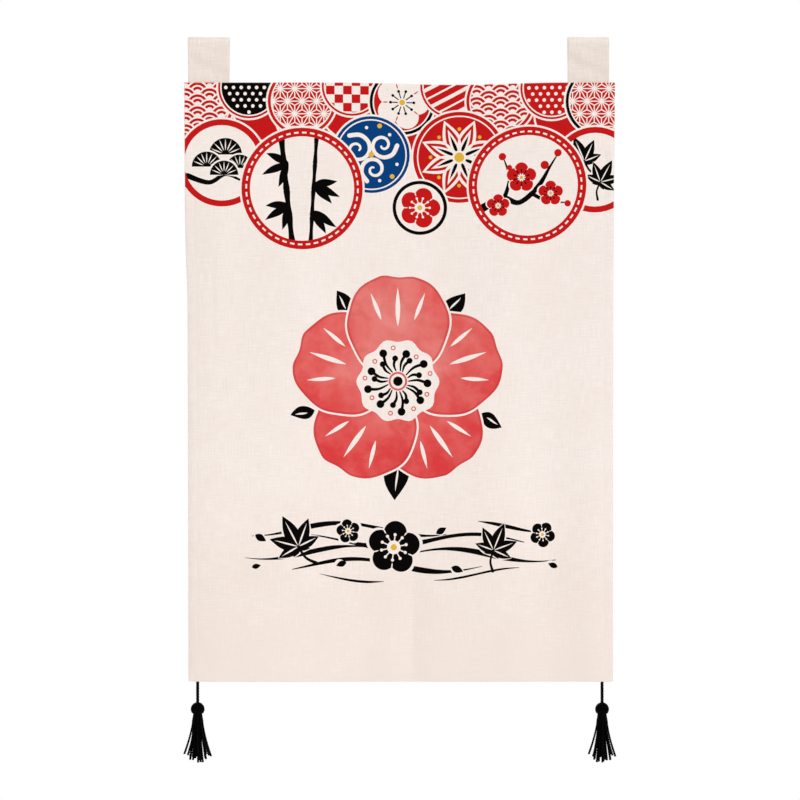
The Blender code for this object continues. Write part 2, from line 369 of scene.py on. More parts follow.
def brush(*stroke, cap_turns=(45.0, 90.0, 135.0)):
    """A brush stroke through points of (across, down, width), with round ends."""
    path = smooth(stroke)
    sides = ([], [])
    for index, (across, down, width) in enumerate(path):
        before, after = beside(path, index)
        heading = math.degrees(math.atan2(after[1] - before[1], after[0] - before[0]))
        for side, turn in zip(sides, (90, -90)):
            side.append(polar(heading + turn, width / 2, (across, down)))
        if index == 0:
            start = [polar(heading - 90 - turn, width / 2, (across, down)) for turn in cap_turns]
    end = [polar(heading + 90 - turn, width / 2, (across, down)) for turn in cap_turns]
    return [*sides[0], *end, *reversed(sides[1]), *start]


print("drawing tools ready")

# %% [markdown]
# ## Old patterns for the round forms
#
# The band at the top is a crowd of round forms in red, cream, blue and black. Each is a ball of
# one of the old pattern-book motifs: scallop waves, hemp leaves, dots, bars, checks, stitched
# petals, curling water, an open flower, or a sprig of pine, bamboo, plum or maple.


# %% Repeats that fill a ball
def scallops(field, middle, radius, ink, size=14.0):
    """Rows of half circles inside each other, each row laid over the one above."""
    row = 0
    down = middle[1] - radius
    while down < middle[1] + radius + size:
        shift = size * (row % 2)
        for column in range(-4, 5):
            centre = (middle[0] + 2 * size * column + shift, down)
            if math.dist(centre, middle) > radius + size:
                continue
            for share, colour in ((1.0, "bare"), (0.86, ink), (0.64, "bare"), (0.50, ink),
                                  (0.28, "bare")):
                lay(sector(centre, 0.01, size * share, 174, 366), colour, field)
        down += size / 2
        row += 1


def hemp_leaves(field, middle, radius, ink, size=17.0, width=1.3):
    """A net of triangles, each split to its middle."""
    rise = size * math.sqrt(3) / 2
    reach = int(radius / rise) + 2
    for row in range(-reach, reach):
        for column in range(-reach, reach):
            corner = (middle[0] + size * (column + row / 2), middle[1] + rise * row)
            if math.dist(corner, middle) > radius + size:
                continue
            right = (corner[0] + size, corner[1])
            below = (corner[0] + size / 2, corner[1] + rise)
            above = (corner[0] + size / 2, corner[1] - rise)
            for end in (right, below, above):
                lay(line(corner, end, width), ink, field)
            for third in (below, above):
                heart = tuple(sum(p[i] for p in (corner, right, third)) / 3 for i in (0, 1))
                for end in (corner, right, third):
                    lay(line(heart, end, width), ink, field)


def dots(field, middle, radius, ink, size=9.0, dot=2.1):
    for row in range(-8, 9):
        for column in range(-6, 7):
            place = (middle[0] + size * (column + 0.5 * (row % 2)), middle[1] + size * 0.8 * row)
            if math.dist(place, middle) < radius - dot:
                lay(circle(place, dot, 14), ink, field)


def bars(field, middle, radius, ink, size=10.0, turn=62.0):
    for index in range(-8, 9):
        centre = polar(turn, size * index, middle)
        if abs(size * index) < radius:
            width = size * (0.42 if index % 2 else 0.22)
            lay(line(polar(turn + 90, radius, centre), polar(turn - 90, radius, centre), width),
                ink, field)


def checks(field, middle, radius, ink, size=10.0):
    reach = int(radius / size) + 1
    for row in range(-reach, reach + 1):
        for column in range(-reach, reach + 1):
            across, down = middle[0] + size * column, middle[1] + size * row
            if (row + column) % 2 == 0 and math.dist((across, down), middle) < radius + size:
                lay(line((across, down + size / 2), (across + size, down + size / 2), size),
                    ink, field)


def stitched_petals(field, middle, radius, ink, petals=8):
    """The star of a thread ball: slim petals stitched in bands around its pole."""
    for share, width, colour in ((0.98, 0.44, "bare"), (0.88, 0.30, "red"), (0.74, 0.18, "bare"),
                                 (0.60, 0.08, ink)):
        for petal in range(petals):
            angle = 360 * (petal + 0.5) / petals
            lay(leaf(middle, angle, radius * share, radius * width), colour, field)
    for petal in range(petals):
        lay(leaf(middle, 360 * petal / petals, radius * 0.56, radius * 0.10), "bare", field)
        lay(circle(polar(360 * petal / petals, radius * 0.70, middle), radius * 0.045, 10),
            "gold", field)
    for size, steps, colour in ((0.17, 20, "bare"), (0.12, 16, "gold")):
        lay(circle(middle, radius * size, steps), colour, field)


def curling_water(field, middle, radius, ink):
    """Three curls of water with drops of foam."""
    for turn, share in ((200, 0.46), (320, 0.42), (80, 0.40)):
        centre = polar(turn, radius * 0.44, middle)
        stroke = []
        for step in range(13):
            angle = turn + 40 + 42 * step
            stroke.append((*polar(angle, radius * share * (1 - step / 14), centre),
                           radius * (0.13 - 0.006 * step)))
        lay(brush(*stroke), ink, field)
    for turn in (200, 320, 80):
        for behind, far, size, colour in ((8, 0.80, 0.05, ink), (34, 0.88, 0.07, "gold"),
                                          (60, 0.80, 0.05, ink)):
            drop = polar(turn - behind, radius * far, middle)
            lay(circle(drop, radius * size, 14), colour, field)
    lay(circle(middle, radius * 0.08, 12), "gold", field)


print("seven repeats ready")


# %% Sprigs that stand in a ball
def needle_fan(field, foot, size, ink):
    """A half round of pine needles, with a bare gap round it."""
    lay(sector(foot, 0.01, size * 1.12, 172, 368), "bare", field)
    lay(sector(foot, 0.01, size, 180, 360), ink, field)
    for needle in range(1, 8):
        angle = 180 + 22.5 * needle
        lay(leaf(polar(angle, size * 0.24, foot), angle, size * 0.72, size * 0.07), "bare", field)


def in_ball(middle, radius, out, low, *width):
    """A place in a ball, and a stroke's width there, from shares of the ball's radius."""
    return (middle[0] + radius * out, middle[1] + radius * low, *(radius * w for w in width))


def boughs(field, middle, radius, ink, strokes):
    """Brush strokes in a ball, each through places of (out, low, width)."""
    for stroke in strokes:
        lay(brush(*(in_ball(middle, radius, *place) for place in stroke)), ink, field)


def pine(field, middle, radius, ink):
    """Four fans of needles on a bent bough."""
    bough = ((-0.92, 0.34, 0.15), (-0.34, 0.52, 0.12), (0.10, 0.30, 0.10), (0.52, 0.46, 0.05),
             (0.78, 0.40, 0.02))
    boughs(field, middle, radius, ink, [bough])
    for out, low, size in ((0.10, -0.22, 0.44), (-0.40, 0.10, 0.40), (0.48, 0.14, 0.36),
                           (0.06, 0.32, 0.38)):
        needle_fan(field, in_ball(middle, radius, out, low), radius * size, ink)


def bamboo(field, middle, radius, ink):
    """Two jointed canes and hanging leaves."""
    for offset, lean, width in ((-0.30, 0.10, 0.13), (0.22, -0.06, 0.09)):
        for joint in range(4):
            top = -0.95 + 0.50 * joint
            foot = top + 0.46
            cane = [(offset + lean * low, low, width * share)
                    for low, share in ((top, 1), ((top + foot) / 2, 0.72), (foot, 1))]
            boughs(field, middle, radius, ink, [cane])
    sprays = ((-0.26, -0.50, (150, 118, 196)), (0.22, -0.08, (20, 52, -14)),
              (-0.24, 0.30, (142, 112, 170)), (0.20, 0.42, (30, 66)))
    for out, low, angles in sprays:
        base = in_ball(middle, radius, out, low)
        for index, angle in enumerate(angles):
            bend = radius * 0.05 * (-1) ** index
            lay(leaf(base, angle, radius * (0.56 - 0.05 * index), radius * 0.15, bend), ink, field)


def plum_bough(field, middle, radius, ink):
    """A knotted bough with three open flowers and some buds."""
    boughs(field, middle, radius, ink, (
        ((-0.98, 0.50, 0.17), (-0.50, 0.26, 0.13), (-0.16, 0.34, 0.10), (0.20, 0.04, 0.10),
         (0.44, -0.36, 0.05), (0.60, -0.62, 0.02)),
        ((-0.46, 0.26, 0.09), (-0.36, -0.14, 0.06), (-0.48, -0.56, 0.02)),
        ((0.08, 0.16, 0.08), (0.40, 0.32, 0.06), (0.76, 0.34, 0.02))))
    for out, low, size in ((-0.12, -0.16, 0.30), (0.46, 0.16, 0.25), (-0.58, 0.40, 0.23)):
        open_flower(field, in_ball(middle, radius, out, low), radius * size, "red", ink)
    for out, low, size in ((-0.50, -0.58, 0.075), (0.60, -0.64, 0.075), (0.80, 0.36, 0.065),
                           (0.34, -0.40, 0.085), (-0.36, -0.36, 0.055)):
        lay(circle(in_ball(middle, radius, out, low), radius * size, 14), "red", field)


def open_flower(field, middle, radius, ink, stamen_ink, vein_ink="bare", turn=-90.0):
    """A five-petalled flower with a bare heart and dotted stamens."""
    lay(blossom(middle, radius * 1.12, turn=turn), "bare", field)
    lay(blossom(middle, radius, turn=turn), ink, field)
    for petal in range(5):
        angle = turn + 36 + 72 * petal
        lay(leaf(polar(angle, radius * 0.58, middle), angle, radius * 0.26, radius * 0.050),
            vein_ink, field)
    lay(circle(middle, radius * 0.26, 20), "bare", field)
    lay(circle(middle, radius * 0.12, 14), "gold", field)
    for stamen in range(10):
        angle = turn + 36 * stamen
        lay(line(polar(angle, radius * 0.18, middle), polar(angle, radius * 0.44, middle),
                 radius * 0.045), stamen_ink, field)
        lay(circle(polar(angle, radius * 0.48, middle), radius * 0.060, 12), stamen_ink, field)


def one_flower(field, middle, radius, ink):
    """One large flower, veined in red where its petals are bare."""
    open_flower(field, middle, radius * 0.86, ink, "black" if ink == "bare" else "bare",
                vein_ink="red" if ink == "bare" else "bare", turn=-72.0)


def maple(field, middle, radius, ink):
    """Two maple leaves that fall across the ball."""
    for out, low, size, turn in ((-0.34, -0.34, 1.20, -24), (0.20, 0.24, 1.10, 28)):
        maple_leaf(field, in_ball(middle, radius, out, low), radius * size, turn, ink)


# Lobes of a maple leaf: (angle from its stalk's line, length, width), for a leaf of size 1.
MAPLE_LOBES = ((-90, 0.66, 0.27), (-138, 0.58, 0.24), (-42, 0.58, 0.24), (-182, 0.46, 0.20),
               (2, 0.46, 0.20), (-218, 0.26, 0.13), (38, 0.26, 0.13))


def maple_leaf(field, middle, size, turn, ink):
    """Seven pointed lobes round one foot, with their veins bare, and a stalk."""
    foot = polar(turn + 90, size * 0.10, middle)
    for behind, longer, wider, colour in ((0.09, 0.05, 0.08, "bare"), (0.05, 0.0, 0.0, ink)):
        for angle, length, width in MAPLE_LOBES:
            lay(leaf(polar(turn + angle + 180, size * behind, foot), turn + angle,
                     size * (length + longer), size * (width + wider)), colour, field)
    for angle, length, _ in MAPLE_LOBES[:5]:
        lay(leaf(foot, turn + angle, size * length * 0.76, size * 0.030), "bare", field)
    lay(brush((*foot, size * 0.05), (*polar(turn + 84, size * 0.24, foot), size * 0.045),
              (*polar(turn + 70, size * 0.44, foot), size * 0.060)), ink, field)


print("sprigs ready")

# %% [markdown]
# ## The band, the flower and the stream
#
# The design is put together from such pattern-book motifs, with the weight of colour that the
# curtain has: a crowd of patterned balls hangs from the heading, one large watercolour flower fills
# the middle, and a stream in black brush strokes carries maple leaves and blossoms below it.

# %% Lay the band of balls
GAP_LINE = 2.3
BACK_BALLS, BACK_SPACING, BACK_RADIUS = 11, 50.6, 44.0
# Back to front: (across, down, radius, rim width, rim ink, field ink, pattern, pattern ink).
BALLS = (
    (-236, 22, 43, 5, "red", "red", scallops, "red"),
    (-176, 6, 36, 4, "red", "black", dots, "bare"),
    (-114, 22, 40, 5, "red", "red", hemp_leaves, "bare"),
    (-56, 4, 35, 4, "red", "red", checks, "bare"),
    (3, 22, 38, 5, "black", "red", one_flower, "bare"),
    (61, 2, 37, 4, "red", "red", bars, "bare"),
    (118, 20, 40, 5, "red", "red", scallops, "red"),
    (178, 6, 37, 4, "red", "red", dots, "bare"),
    (236, 22, 42, 5, "black", "red", hemp_leaves, "bare"),
    (-208, 94, 51, 7, "red", "bare", pine, "black"),
    (-33, 84, 45, 5, "blue", "blue", curling_water, "bare"),
    (70, 86, 54, 6, "red", "red", stitched_petals, "black"),
    (229, 102, 50, 7, "red", "bare", maple, "black"),
    (-114, 124, 71, 10, "red", "bare", bamboo, "black"),
    (150, 120, 69, 10, "red", "bare", plum_bough, "black"),
    (24, 146, 32, 4, "black", "bare", one_flower, "red"),
)
RUNNING_STITCHES, STITCHED_RIM = 44, 9


def lay_ball(across, down, radius, rim_width, rim, field_ink, pattern, ink):
    """A ball with a bare line round it, its rim, its field and the pattern in the field."""
    centre = (across, down)
    steps = 64 if radius > 50 else 44
    lay(circle(centre, radius + GAP_LINE, steps), "bare")
    lay(circle(centre, radius, steps), rim)
    if field_ink != "bare":
        lay(circle(centre, radius - rim_width + 1.6, steps), "bare")
    field = lay(circle(centre, radius - rim_width, steps), field_ink)
    pattern(field, centre, radius - rim_width, ink)
    if rim_width > STITCHED_RIM:
        for stitch in range(RUNNING_STITCHES):
            angle = 360 * stitch / RUNNING_STITCHES
            lay(sector(centre, radius - rim_width * 0.66, radius - rim_width * 0.46,
                       angle, angle + 4.6, 2), "bare")


for index in range(BACK_BALLS):
    centre = (BACK_SPACING * (index - BACK_BALLS // 2), 24 + 12 * (index % 2))
    lay(circle(centre, BACK_RADIUS + GAP_LINE), "bare")
    lay(circle(centre, BACK_RADIUS), "red")
for ball in BALLS:
    lay_ball(*ball)
print("band:", len(stencils), "stencils")

# %% Lay the large flower
FLOWER = (-3.0, 349.0)
PETAL_REACH, PETAL_LONG, PETAL_WIDE = 66.0, 61.0, 60.0
HEART_RADIUS = 47.0
RIM_OF_PIGMENT = 2.6


def hand_drawn_petal(turn, grow):
    """A broad petal with an uneven, slightly notched edge."""
    centre = polar(turn, PETAL_REACH, FLOWER)
    points = []
    for index in range(108):
        angle = 360 * index / 108
        off = math.radians(angle)
        wave = 1 + 0.018 * math.sin(3 * off + turn) + 0.012 * math.sin(8 * off + 2 * turn)
        notch = 1 - 0.085 * bump((angle + 180) % 360 - 180, 22.0)
        out = (PETAL_LONG + grow) * wave * notch * math.cos(off)
        side = (PETAL_WIDE + grow) * wave * math.sin(off)
        points.append(polar(turn + 90, side, polar(turn, out, centre)))
    return points


def brush_leaf(turn, start, length, width):
    """A broad brush leaf with its vein left bare."""
    base = polar(turn, start, FLOWER)
    lay(leaf(base, turn, length, width, bend=4.0, steps=14), "black")
    lay(leaf(polar(turn, start + length * 0.30, FLOWER), turn + 2, length * 0.52, 2.4, bend=2.2),
        "bare")


for turn, start, length, width in ((90, 84, 55, 30), (-54, 92, 38, 22), (-126, 94, 34, 20),
                                   (22, 104, 30, 17), (161, 104, 29, 16)):
    brush_leaf(turn, start, length, width)
for turn in (54, 126, -18, 198, -90):
    lay(hand_drawn_petal(turn, GAP_LINE), "bare")
    lay(hand_drawn_petal(turn, 0.0), "wash_rim")
    lay(hand_drawn_petal(turn, -RIM_OF_PIGMENT), "wash")
    for slit, start, length, width in ((-19, 74, 34, 4.6), (0, 64, 46, 5.6), (19, 74, 34, 4.6)):
        base = polar(turn + slit * 0.8, start, FLOWER)
        lay(leaf(base, turn + slit * 1.15, length, width, steps=10), "bare")
heart = []
for index in range(72):
    angle = 360 * index / 72
    scallop, drawn = math.cos(math.radians(10 * angle)), math.sin(math.radians(3 * angle))
    heart.append(polar(angle, HEART_RADIUS * (1 + 0.045 * scallop + 0.02 * drawn), FLOWER))
heart_field = lay(heart, "bare")
for index in range(18):
    angle = 20 * index + 4 * math.sin(index * 2.4)
    reach = (35.0, 27.0)[index % 2] + 1.8 * math.sin(index * 1.7)
    foot, tip = polar(angle, 12.5, FLOWER), polar(angle + 4, reach, FLOWER)
    middle = polar(angle - 3, (reach + 12.5) / 2, FLOWER)
    lay(brush((*foot, 1.5), (*middle, 3.0), (*tip, 3.6)), "black", heart_field)
    lay(circle(tip, (4.7, 3.5)[index % 2], 16), "black", heart_field)
    if index % 2 == 0:
        ring = polar(angle + 24, reach + 2.5, FLOWER)
        lay(circle(ring, 2.9, 14), "wash_rim", heart_field)
        lay(circle(ring, 1.6, 12), "bare", heart_field)
for radius, steps, ink in ((11.0, 26, "wash_rim"), (8.6, 24, "bare"), (5.6, 20, "black")):
    lay(circle(FLOWER, radius, steps), ink, heart_field)
print("with the flower:", len(stencils), "stencils")

# %% [markdown]
# ## The stream
#
# Each line of the stream is one stroke that swells and thins as a loaded brush does. What floats on
# it is laid later, with a bare gap round it, so that the water seems to part there.


# %% Lay the stream and what floats on it
def stream_line(down, first, last, start, width):
    """One line of water between two places across."""
    stroke = []
    count = max(4, round((last - first) / 17))
    for index in range(count + 1):
        across = first + (last - first) * index / count
        ends = min(1.0, 0.16 + 2.6 * min(index, count - index) / count)
        swell = 0.78 + 0.22 * math.sin(across / 21 + start)
        stroke.append((across, down + 7.5 * math.sin(across / 33 + start), width * ends * swell))
    lay(brush(*stroke), "black")


for drawn in ((522, -176, 54, 0.6, 6.4), (535, -116, 146, 2.1, 7.4), (549, -184, -30, 0.2, 5.6),
              (552, 4, 184, 3.0, 6.6), (564, -128, 96, 0.1, 7.0), (519, 92, 166, 2.4, 4.6),
              (574, 40, 140, 0.4, 4.2), (576, -96, -20, 2.6, 3.8)):
    stream_line(*drawn)
maple_leaf(None, (-124, 536), 66, -28, "black")
maple_leaf(None, (112, 541), 56, 22, "black")
for across, down, size, turn in ((-8, 543, 31, -84), (168, 528, 15, -60), (-62, 524, 14, -100)):
    lay(blossom((across, down), size + GAP_LINE + 0.8, turn=turn), "bare")
    open_flower(None, (across, down), size, "black", "bare", turn=turn)
for across, down, turn, size in ((-172, 528, 30, 15), (42, 527, -30, 14), (60, 566, 20, 15),
                                 (-64, 560, 160, 13), (-176, 566, -12, 11), (186, 566, 200, 12)):
    lay(leaf((across - 1.5, down), turn, size + 3.5, size * 0.55 + 4.5), "bare")
    lay(leaf((across, down), turn, size, size * 0.55), "black")
print("in all:", len(stencils), "stencils and", sum(len(s[0]) for s in stencils), "points")

# %% [markdown]
# ## Cutting the cloth along its print
#
# The cloth could carry its print as a painted image, but then every edge would be as coarse as the
# image. Here the flat sheet is triangulated with every outline as a line that no triangle crosses,
# so each triangle lies wholly in one ink. The ink is stored at the triangle's corners, and the
# material reads it. Only then is each point hung in its folded place, and the sheet given its
# back, its turned hem and its rounded edge.

# %% Triangulate the flat sheet
GRID = 8.0
EDGE_ROUND = 0.9
HEM_LINES = (4.6, 8.7, 9.9, 10.7, 11.6, 13.4)
HALF_WIDTH, LENGTH = CLOTH_WIDTH / MM / 2, CLOTH_HEIGHT / MM
CREASE_OFFSETS = (-1.0, -0.5, 0.0, 0.5, 1.0)
MERGE = 0.0005


def inset_rectangle(inset):
    return [(-HALF_WIDTH + inset, inset), (HALF_WIDTH - inset, inset),
            (HALF_WIDTH - inset, LENGTH - inset), (-HALF_WIDTH + inset, LENGTH - inset)]


def grid_lines(low, high):
    """Places along one side of the sheet: even steps, and closer ones over the hem's step."""
    inner_low, inner_high = low + HEM_LINES[-1], high - HEM_LINES[-1]
    count = round((inner_high - inner_low) / GRID)
    even = [inner_low + (inner_high - inner_low) * i / count for i in range(count + 1)]
    hems = [low + inset for inset in HEM_LINES[:-1]] + [high - inset for inset in HEM_LINES[:-1]]
    return sorted({low + EDGE_ROUND, high - EDGE_ROUND, *even, *hems})


flat_points, outlines, fold_lines = [], [], []
for outline in (inset_rectangle(EDGE_ROUND), *(stencil[0] for stencil in stencils)):
    outlines.append(list(range(len(flat_points), len(flat_points) + len(outline))))
    flat_points.extend(Vector(place) for place in outline)
for inset in HEM_LINES[2:5]:
    first = len(flat_points)
    flat_points.extend(Vector(place) for place in inset_rectangle(inset))
    fold_lines.extend((first + i, first + (i + 1) % 4) for i in range(4))
for across in grid_lines(-HALF_WIDTH, HALF_WIDTH):
    for down in grid_lines(0.0, LENGTH):
        flat_points.append(Vector((across, down)))
for (x0, down0), (x1, down1), half_width, _ in CREASES:
    for step in range(round((down1 - down0) / MM / GRID) + 1):
        t = step * GRID * MM / (down1 - down0)
        for offset in CREASE_OFFSETS:
            across = (x0 + t * (x1 - x0) + offset * half_width) / MM
            down = (down0 + t * (down1 - down0)) / MM
            if abs(across) < HALF_WIDTH - 2 and 2 < down < LENGTH - 2:
                flat_points.append(Vector((across, down)))

cut = delaunay_2d_cdt(flat_points, fold_lines, outlines, 1, MERGE, True)
faces, inks = [], []
for face, holders in zip(cut[2], cut[5]):
    if 0 not in holders:
        continue
    shown = "bare"
    for number in sorted(holders, reverse=True)[:-1]:
        inside = stencils[number - 1][2]
        if inside is None or inside + 1 in holders:
            shown = stencils[number - 1][1]
            break
    faces.append(tuple(face))
    inks.append(shown)
kept = sorted({index for face in faces for index in face})
renumber = {index: number for number, index in enumerate(kept)}
faces = [tuple(renumber[index] for index in face) for face in faces]
flat = [tuple(cut[0][index]) for index in kept]
print("sheet:", len(flat), "points,", len(faces), "triangles")

# %% [markdown]
# ## Inks
#
# Pigment inks on cloth are flat and matt. The flower is different: its red is thin like
# watercolour, pale at the top and deeper below, with a darker rim where the paint dried last.

# %% Mix the inks
INKS = {
    "red": linear("#C51718"),
    "blue": linear("#033F7C"),
    "black": linear("#030202"),
    "gold": linear("#E0B43C"),
    "bare": linear("#F5E8E1"),
}
WASH_PALE, WASH_MIDDLE, WASH_DEEP = (linear(c) for c in ("#EA8F88", "#E35652", "#DC2D31"))
WASH_RIM = linear("#CB2428")
BARE, SOLID, WASHED = 0.0, 1.0, 0.97
SHOW_THROUGH = 0.17


def wash_depth(across, down):
    """0 where the watercolour is palest, 1 where it is deepest."""
    out = math.dist((across, down), FLOWER)
    turn = math.atan2(down - FLOWER[1], across - FLOWER[0])
    return soft_step(0.50 + 0.37 * (down - FLOWER[1]) / 130 + 0.30 * (out - 60) / 70
                     + 0.07 * math.sin(5 * turn + 0.6) + 0.05 * math.sin(out / 9 + 3 * turn))


def ink_at(name, across, down):
    """An ink at a place on the cloth: its colour with its cover, and how watery it is."""
    if name not in ("wash", "wash_rim"):
        return (*INKS[name], BARE if name == "bare" else SOLID), 0.0
    depth = wash_depth(across, down)
    if depth < 0.5:
        colour = between(WASH_PALE, WASH_MIDDLE, 2 * depth)
    else:
        colour = between(WASH_MIDDLE, WASH_DEEP, 2 * depth - 1)
    if name == "wash_rim":
        return (*between(colour, WASH_RIM, 0.45 + 0.35 * depth), WASHED), 0.5
    return (*colour, WASHED), 1.0


print("inks:", ", ".join(INKS), "and the washes")

# %% Hang the sheet, front, rim and back
RIM_STEPS = 6
RIM_UNROLLED = 3.2
BAKE_MARGIN = 3.6
FRONT_MAP_WIDTH, BACK_MAP_START, BACK_MAP_WIDTH, MAP_EDGE = 0.700, 0.712, 0.280, 0.004


def hung(across, down, behind):
    """A point of the flat sheet in millimetres, hung: behind is 0 on the face and 1 on the back."""
    place = cloth_place(across * MM, down * MM)
    place.y += behind * cloth_thickness(across * MM, down * MM)
    return place


front_map_scale = FRONT_MAP_WIDTH / (2 * (HALF_WIDTH + BAKE_MARGIN))
back_map_scale = BACK_MAP_WIDTH / (2 * HALF_WIDTH)


def front_map(across, down):
    return (MAP_EDGE + (across + HALF_WIDTH + BAKE_MARGIN) * front_map_scale,
            1 - MAP_EDGE - (down + BAKE_MARGIN) * front_map_scale)


def back_map(across, down):
    return (BACK_MAP_START + (HALF_WIDTH - across) * back_map_scale,
            1 - MAP_EDGE - down * back_map_scale)


next_round, ink_beside = {}, {}
edge_faces = {}
for face, ink in zip(faces, inks):
    for a, b in zip(face, face[1:] + face[:1]):
        edge_faces[a, b] = ink
for (a, b), ink in edge_faces.items():
    if (b, a) not in edge_faces:
        next_round[a], ink_beside[a] = b, ink
rim = [min(next_round)]
while next_round[rim[-1]] != rim[0]:
    rim.append(next_round[rim[-1]])

count = len(flat)
spots = [hung(*place, 0) for place in flat] + [hung(*place, 1) for place in flat]


def outward(across, down):
    """Which way the sheet's edge faces, shortened at a corner, which is round."""
    aside = math.copysign(1.0, across) if abs(across) > HALF_WIDTH - EDGE_ROUND - 0.01 else 0.0
    below = 0.0
    if down < EDGE_ROUND + 0.01:
        below = -1.0
    elif down > LENGTH - EDGE_ROUND - 0.01:
        below = 1.0
    short = 0.75 if aside and below else 1.0
    return aside * short, below * short


rings = [list(rim)]
unrolled = [[flat[index] for index in rim]]
for ring in range(1, RIM_STEPS + 1):
    turn = math.pi * ring / RIM_STEPS
    numbers, places = [], []
    for index in rim:
        across, down = flat[index]
        aside, below = outward(across, down)
        out = EDGE_ROUND * math.sin(turn)
        far = RIM_UNROLLED * ring / RIM_STEPS
        places.append((across + aside * far, down + below * far))
        if ring == RIM_STEPS:
            numbers.append(index + count)
        else:
            numbers.append(len(spots))
            spots.append(hung(across + aside * out, down + below * out, (1 - math.cos(turn)) / 2))
    rings.append(numbers)
    unrolled.append(places)

sheet_faces, threads, bake, inked, watery = [], [], [], [], []


def add_face(numbers, places, maps, colours, waters):
    sheet_faces.append(numbers)
    threads.extend(value * MM for place in places for value in place)
    bake.extend(value for place in maps for value in place)
    inked.extend(value for colour in colours for value in colour)
    watery.extend(waters)


for face, ink in zip(faces, inks):
    front_face = face[::-1]
    places = [flat[index] for index in front_face]
    mixed = [ink_at(ink, *place) for place in places]
    add_face(front_face, places, [front_map(*place) for place in places],
             [colour for colour, _ in mixed], [water for _, water in mixed])
    places = [flat[index] for index in face]
    shown = []
    for across, down in places:
        colour, _ = ink_at(ink, across, down)
        single = single_layer(across * MM, down * MM)
        shown.append((*colour[:3], colour[3] * SHOW_THROUGH * single))
    add_face(tuple(index + count for index in face), places,
             [back_map(*place) for place in places], shown, (0.0, 0.0, 0.0))
for ring in range(RIM_STEPS):
    fades = [max(0.0, 1 - (step / RIM_STEPS) * 1.5) for step in (ring, ring + 1)]
    for index in range(len(rim)):
        after = (index + 1) % len(rim)
        numbers, places = ((rows[ring][index], rows[ring][after], rows[ring + 1][after],
                            rows[ring + 1][index]) for rows in (rings, unrolled))
        colour, _ = ink_at(ink_beside[rim[index]], *flat[rim[index]])
        covers = [(*colour[:3], colour[3] * fades[i]) for i in (0, 0, 1, 1)]
        add_face(numbers, places, [front_map(*place) for place in places], covers, (0.0,) * 4)

panel = mesh_object("printed_curtain", spots, sheet_faces)
panel.data.uv_layers.new(name="threads").data.foreach_set("uv", threads)
panel.data.uv_layers.new(name="OFBake").data.foreach_set("uv", bake)
panel.data.attributes.new("ink", "FLOAT_COLOR", "CORNER").data.foreach_set("color", inked)
panel.data.attributes.new("watery", "FLOAT", "CORNER").data.foreach_set("value", watery)
panel.data.validate()
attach(panel, "root")
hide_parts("panel")
print("curtain:", triangles(panel), "triangles, rim of", len(rim), "points")

# %% [markdown]
# ## The tabs
#
# Each tab is a strip of the same cloth, folded double so that no raw edge shows, laid over the rod
# line and sewn flat behind the heading. It is made as a rounded outline carried along its path,
# with small ripples and a soft dent in front, because folded and sewn cloth is never quite flat.

# %% Fold the tabs
TAB_THICKNESS, TAB_INNER_RADIUS, TAB_SEAM_ABOVE = 0.0014, 0.0070, 0.0010
TAB_LAYER_Y = 0.00085
TAB_ARC_STEPS, TAB_LEG_STEPS, TAB_SIDE_STEPS, TAB_ACROSS_STEPS, TAB_EDGE_STEPS = 44, 8, 24, 22, 5
# A soft slanting dent in the front of each loop: its line as (across, z), half its width, its
# depth, and how high over the heading the seam lets it have its full depth.
TAB_DENT_LINE = ((-0.0210, -0.0275), (0.0210, -0.0475))
TAB_DENT_HALF, TAB_DENT_DEPTH, TAB_DENT_ENDS = 0.0120, 0.0024, 0.0140
# Ripples in the loops' cloth: (radians a metre across, and along, share of their depth). The
# strip's width is uneven by TAB_SLACK of itself, and both start above the heading.
TAB_RIPPLES = ((190, 60, 1.0), (90, -130, 0.7))
TAB_RIPPLE_DEPTH, TAB_SLACK, TAB_SLACK_WAVE, TAB_LOOSE_ABOVE = 0.00022, 0.006, 55, 0.020
CAP_MAP_V = 0.2


def tab_path():
    """The strip's middle line in (y, z): up the front leg, over the rod line, down the rear leg."""
    seam_z = HEADING_Z + TAB_SEAM_ABOVE
    radius = TAB_INNER_RADIUS + TAB_THICKNESS / 2
    reach = math.hypot(TAB_LAYER_Y, seam_z + TAB_INNER_RADIUS)
    lean = math.asin(radius / reach) - math.asin(TAB_LAYER_Y / reach)
    foot_z = HEADING_Z - TAB_LEG
    front = [(-TAB_LAYER_Y, foot_z + (seam_z - foot_z) * i / TAB_LEG_STEPS)
             for i in range(TAB_LEG_STEPS + 1)]
    arc = []
    for step in range(TAB_ARC_STEPS + 1):
        angle = -lean + (math.pi + 2 * lean) * step / TAB_ARC_STEPS
        arc.append((-radius * math.cos(angle), -TAB_INNER_RADIUS + radius * math.sin(angle)))
    rising = front + [between(front[-1], arc[0], i / TAB_SIDE_STEPS)
                      for i in range(1, TAB_SIDE_STEPS)]
    return rising + arc + [(-y, z) for y, z in reversed(rising)]


def tab_outline():
    """The strip's section, as (across, out) with round edges, from its outer face all round."""
    half, thick = TAB_WIDTH / 2, TAB_THICKNESS / 2
    outer = [(-half + thick + (TAB_WIDTH - 2 * thick) * i / TAB_ACROSS_STEPS, thick)
             for i in range(TAB_ACROSS_STEPS + 1)]
    edge = []
    for step in range(1, TAB_EDGE_STEPS):
        turn = math.pi * step / TAB_EDGE_STEPS
        edge.append((half - thick + thick * math.sin(turn), thick * math.cos(turn)))
    return outer + edge + [(-x, -out) for x, out in outer + edge]


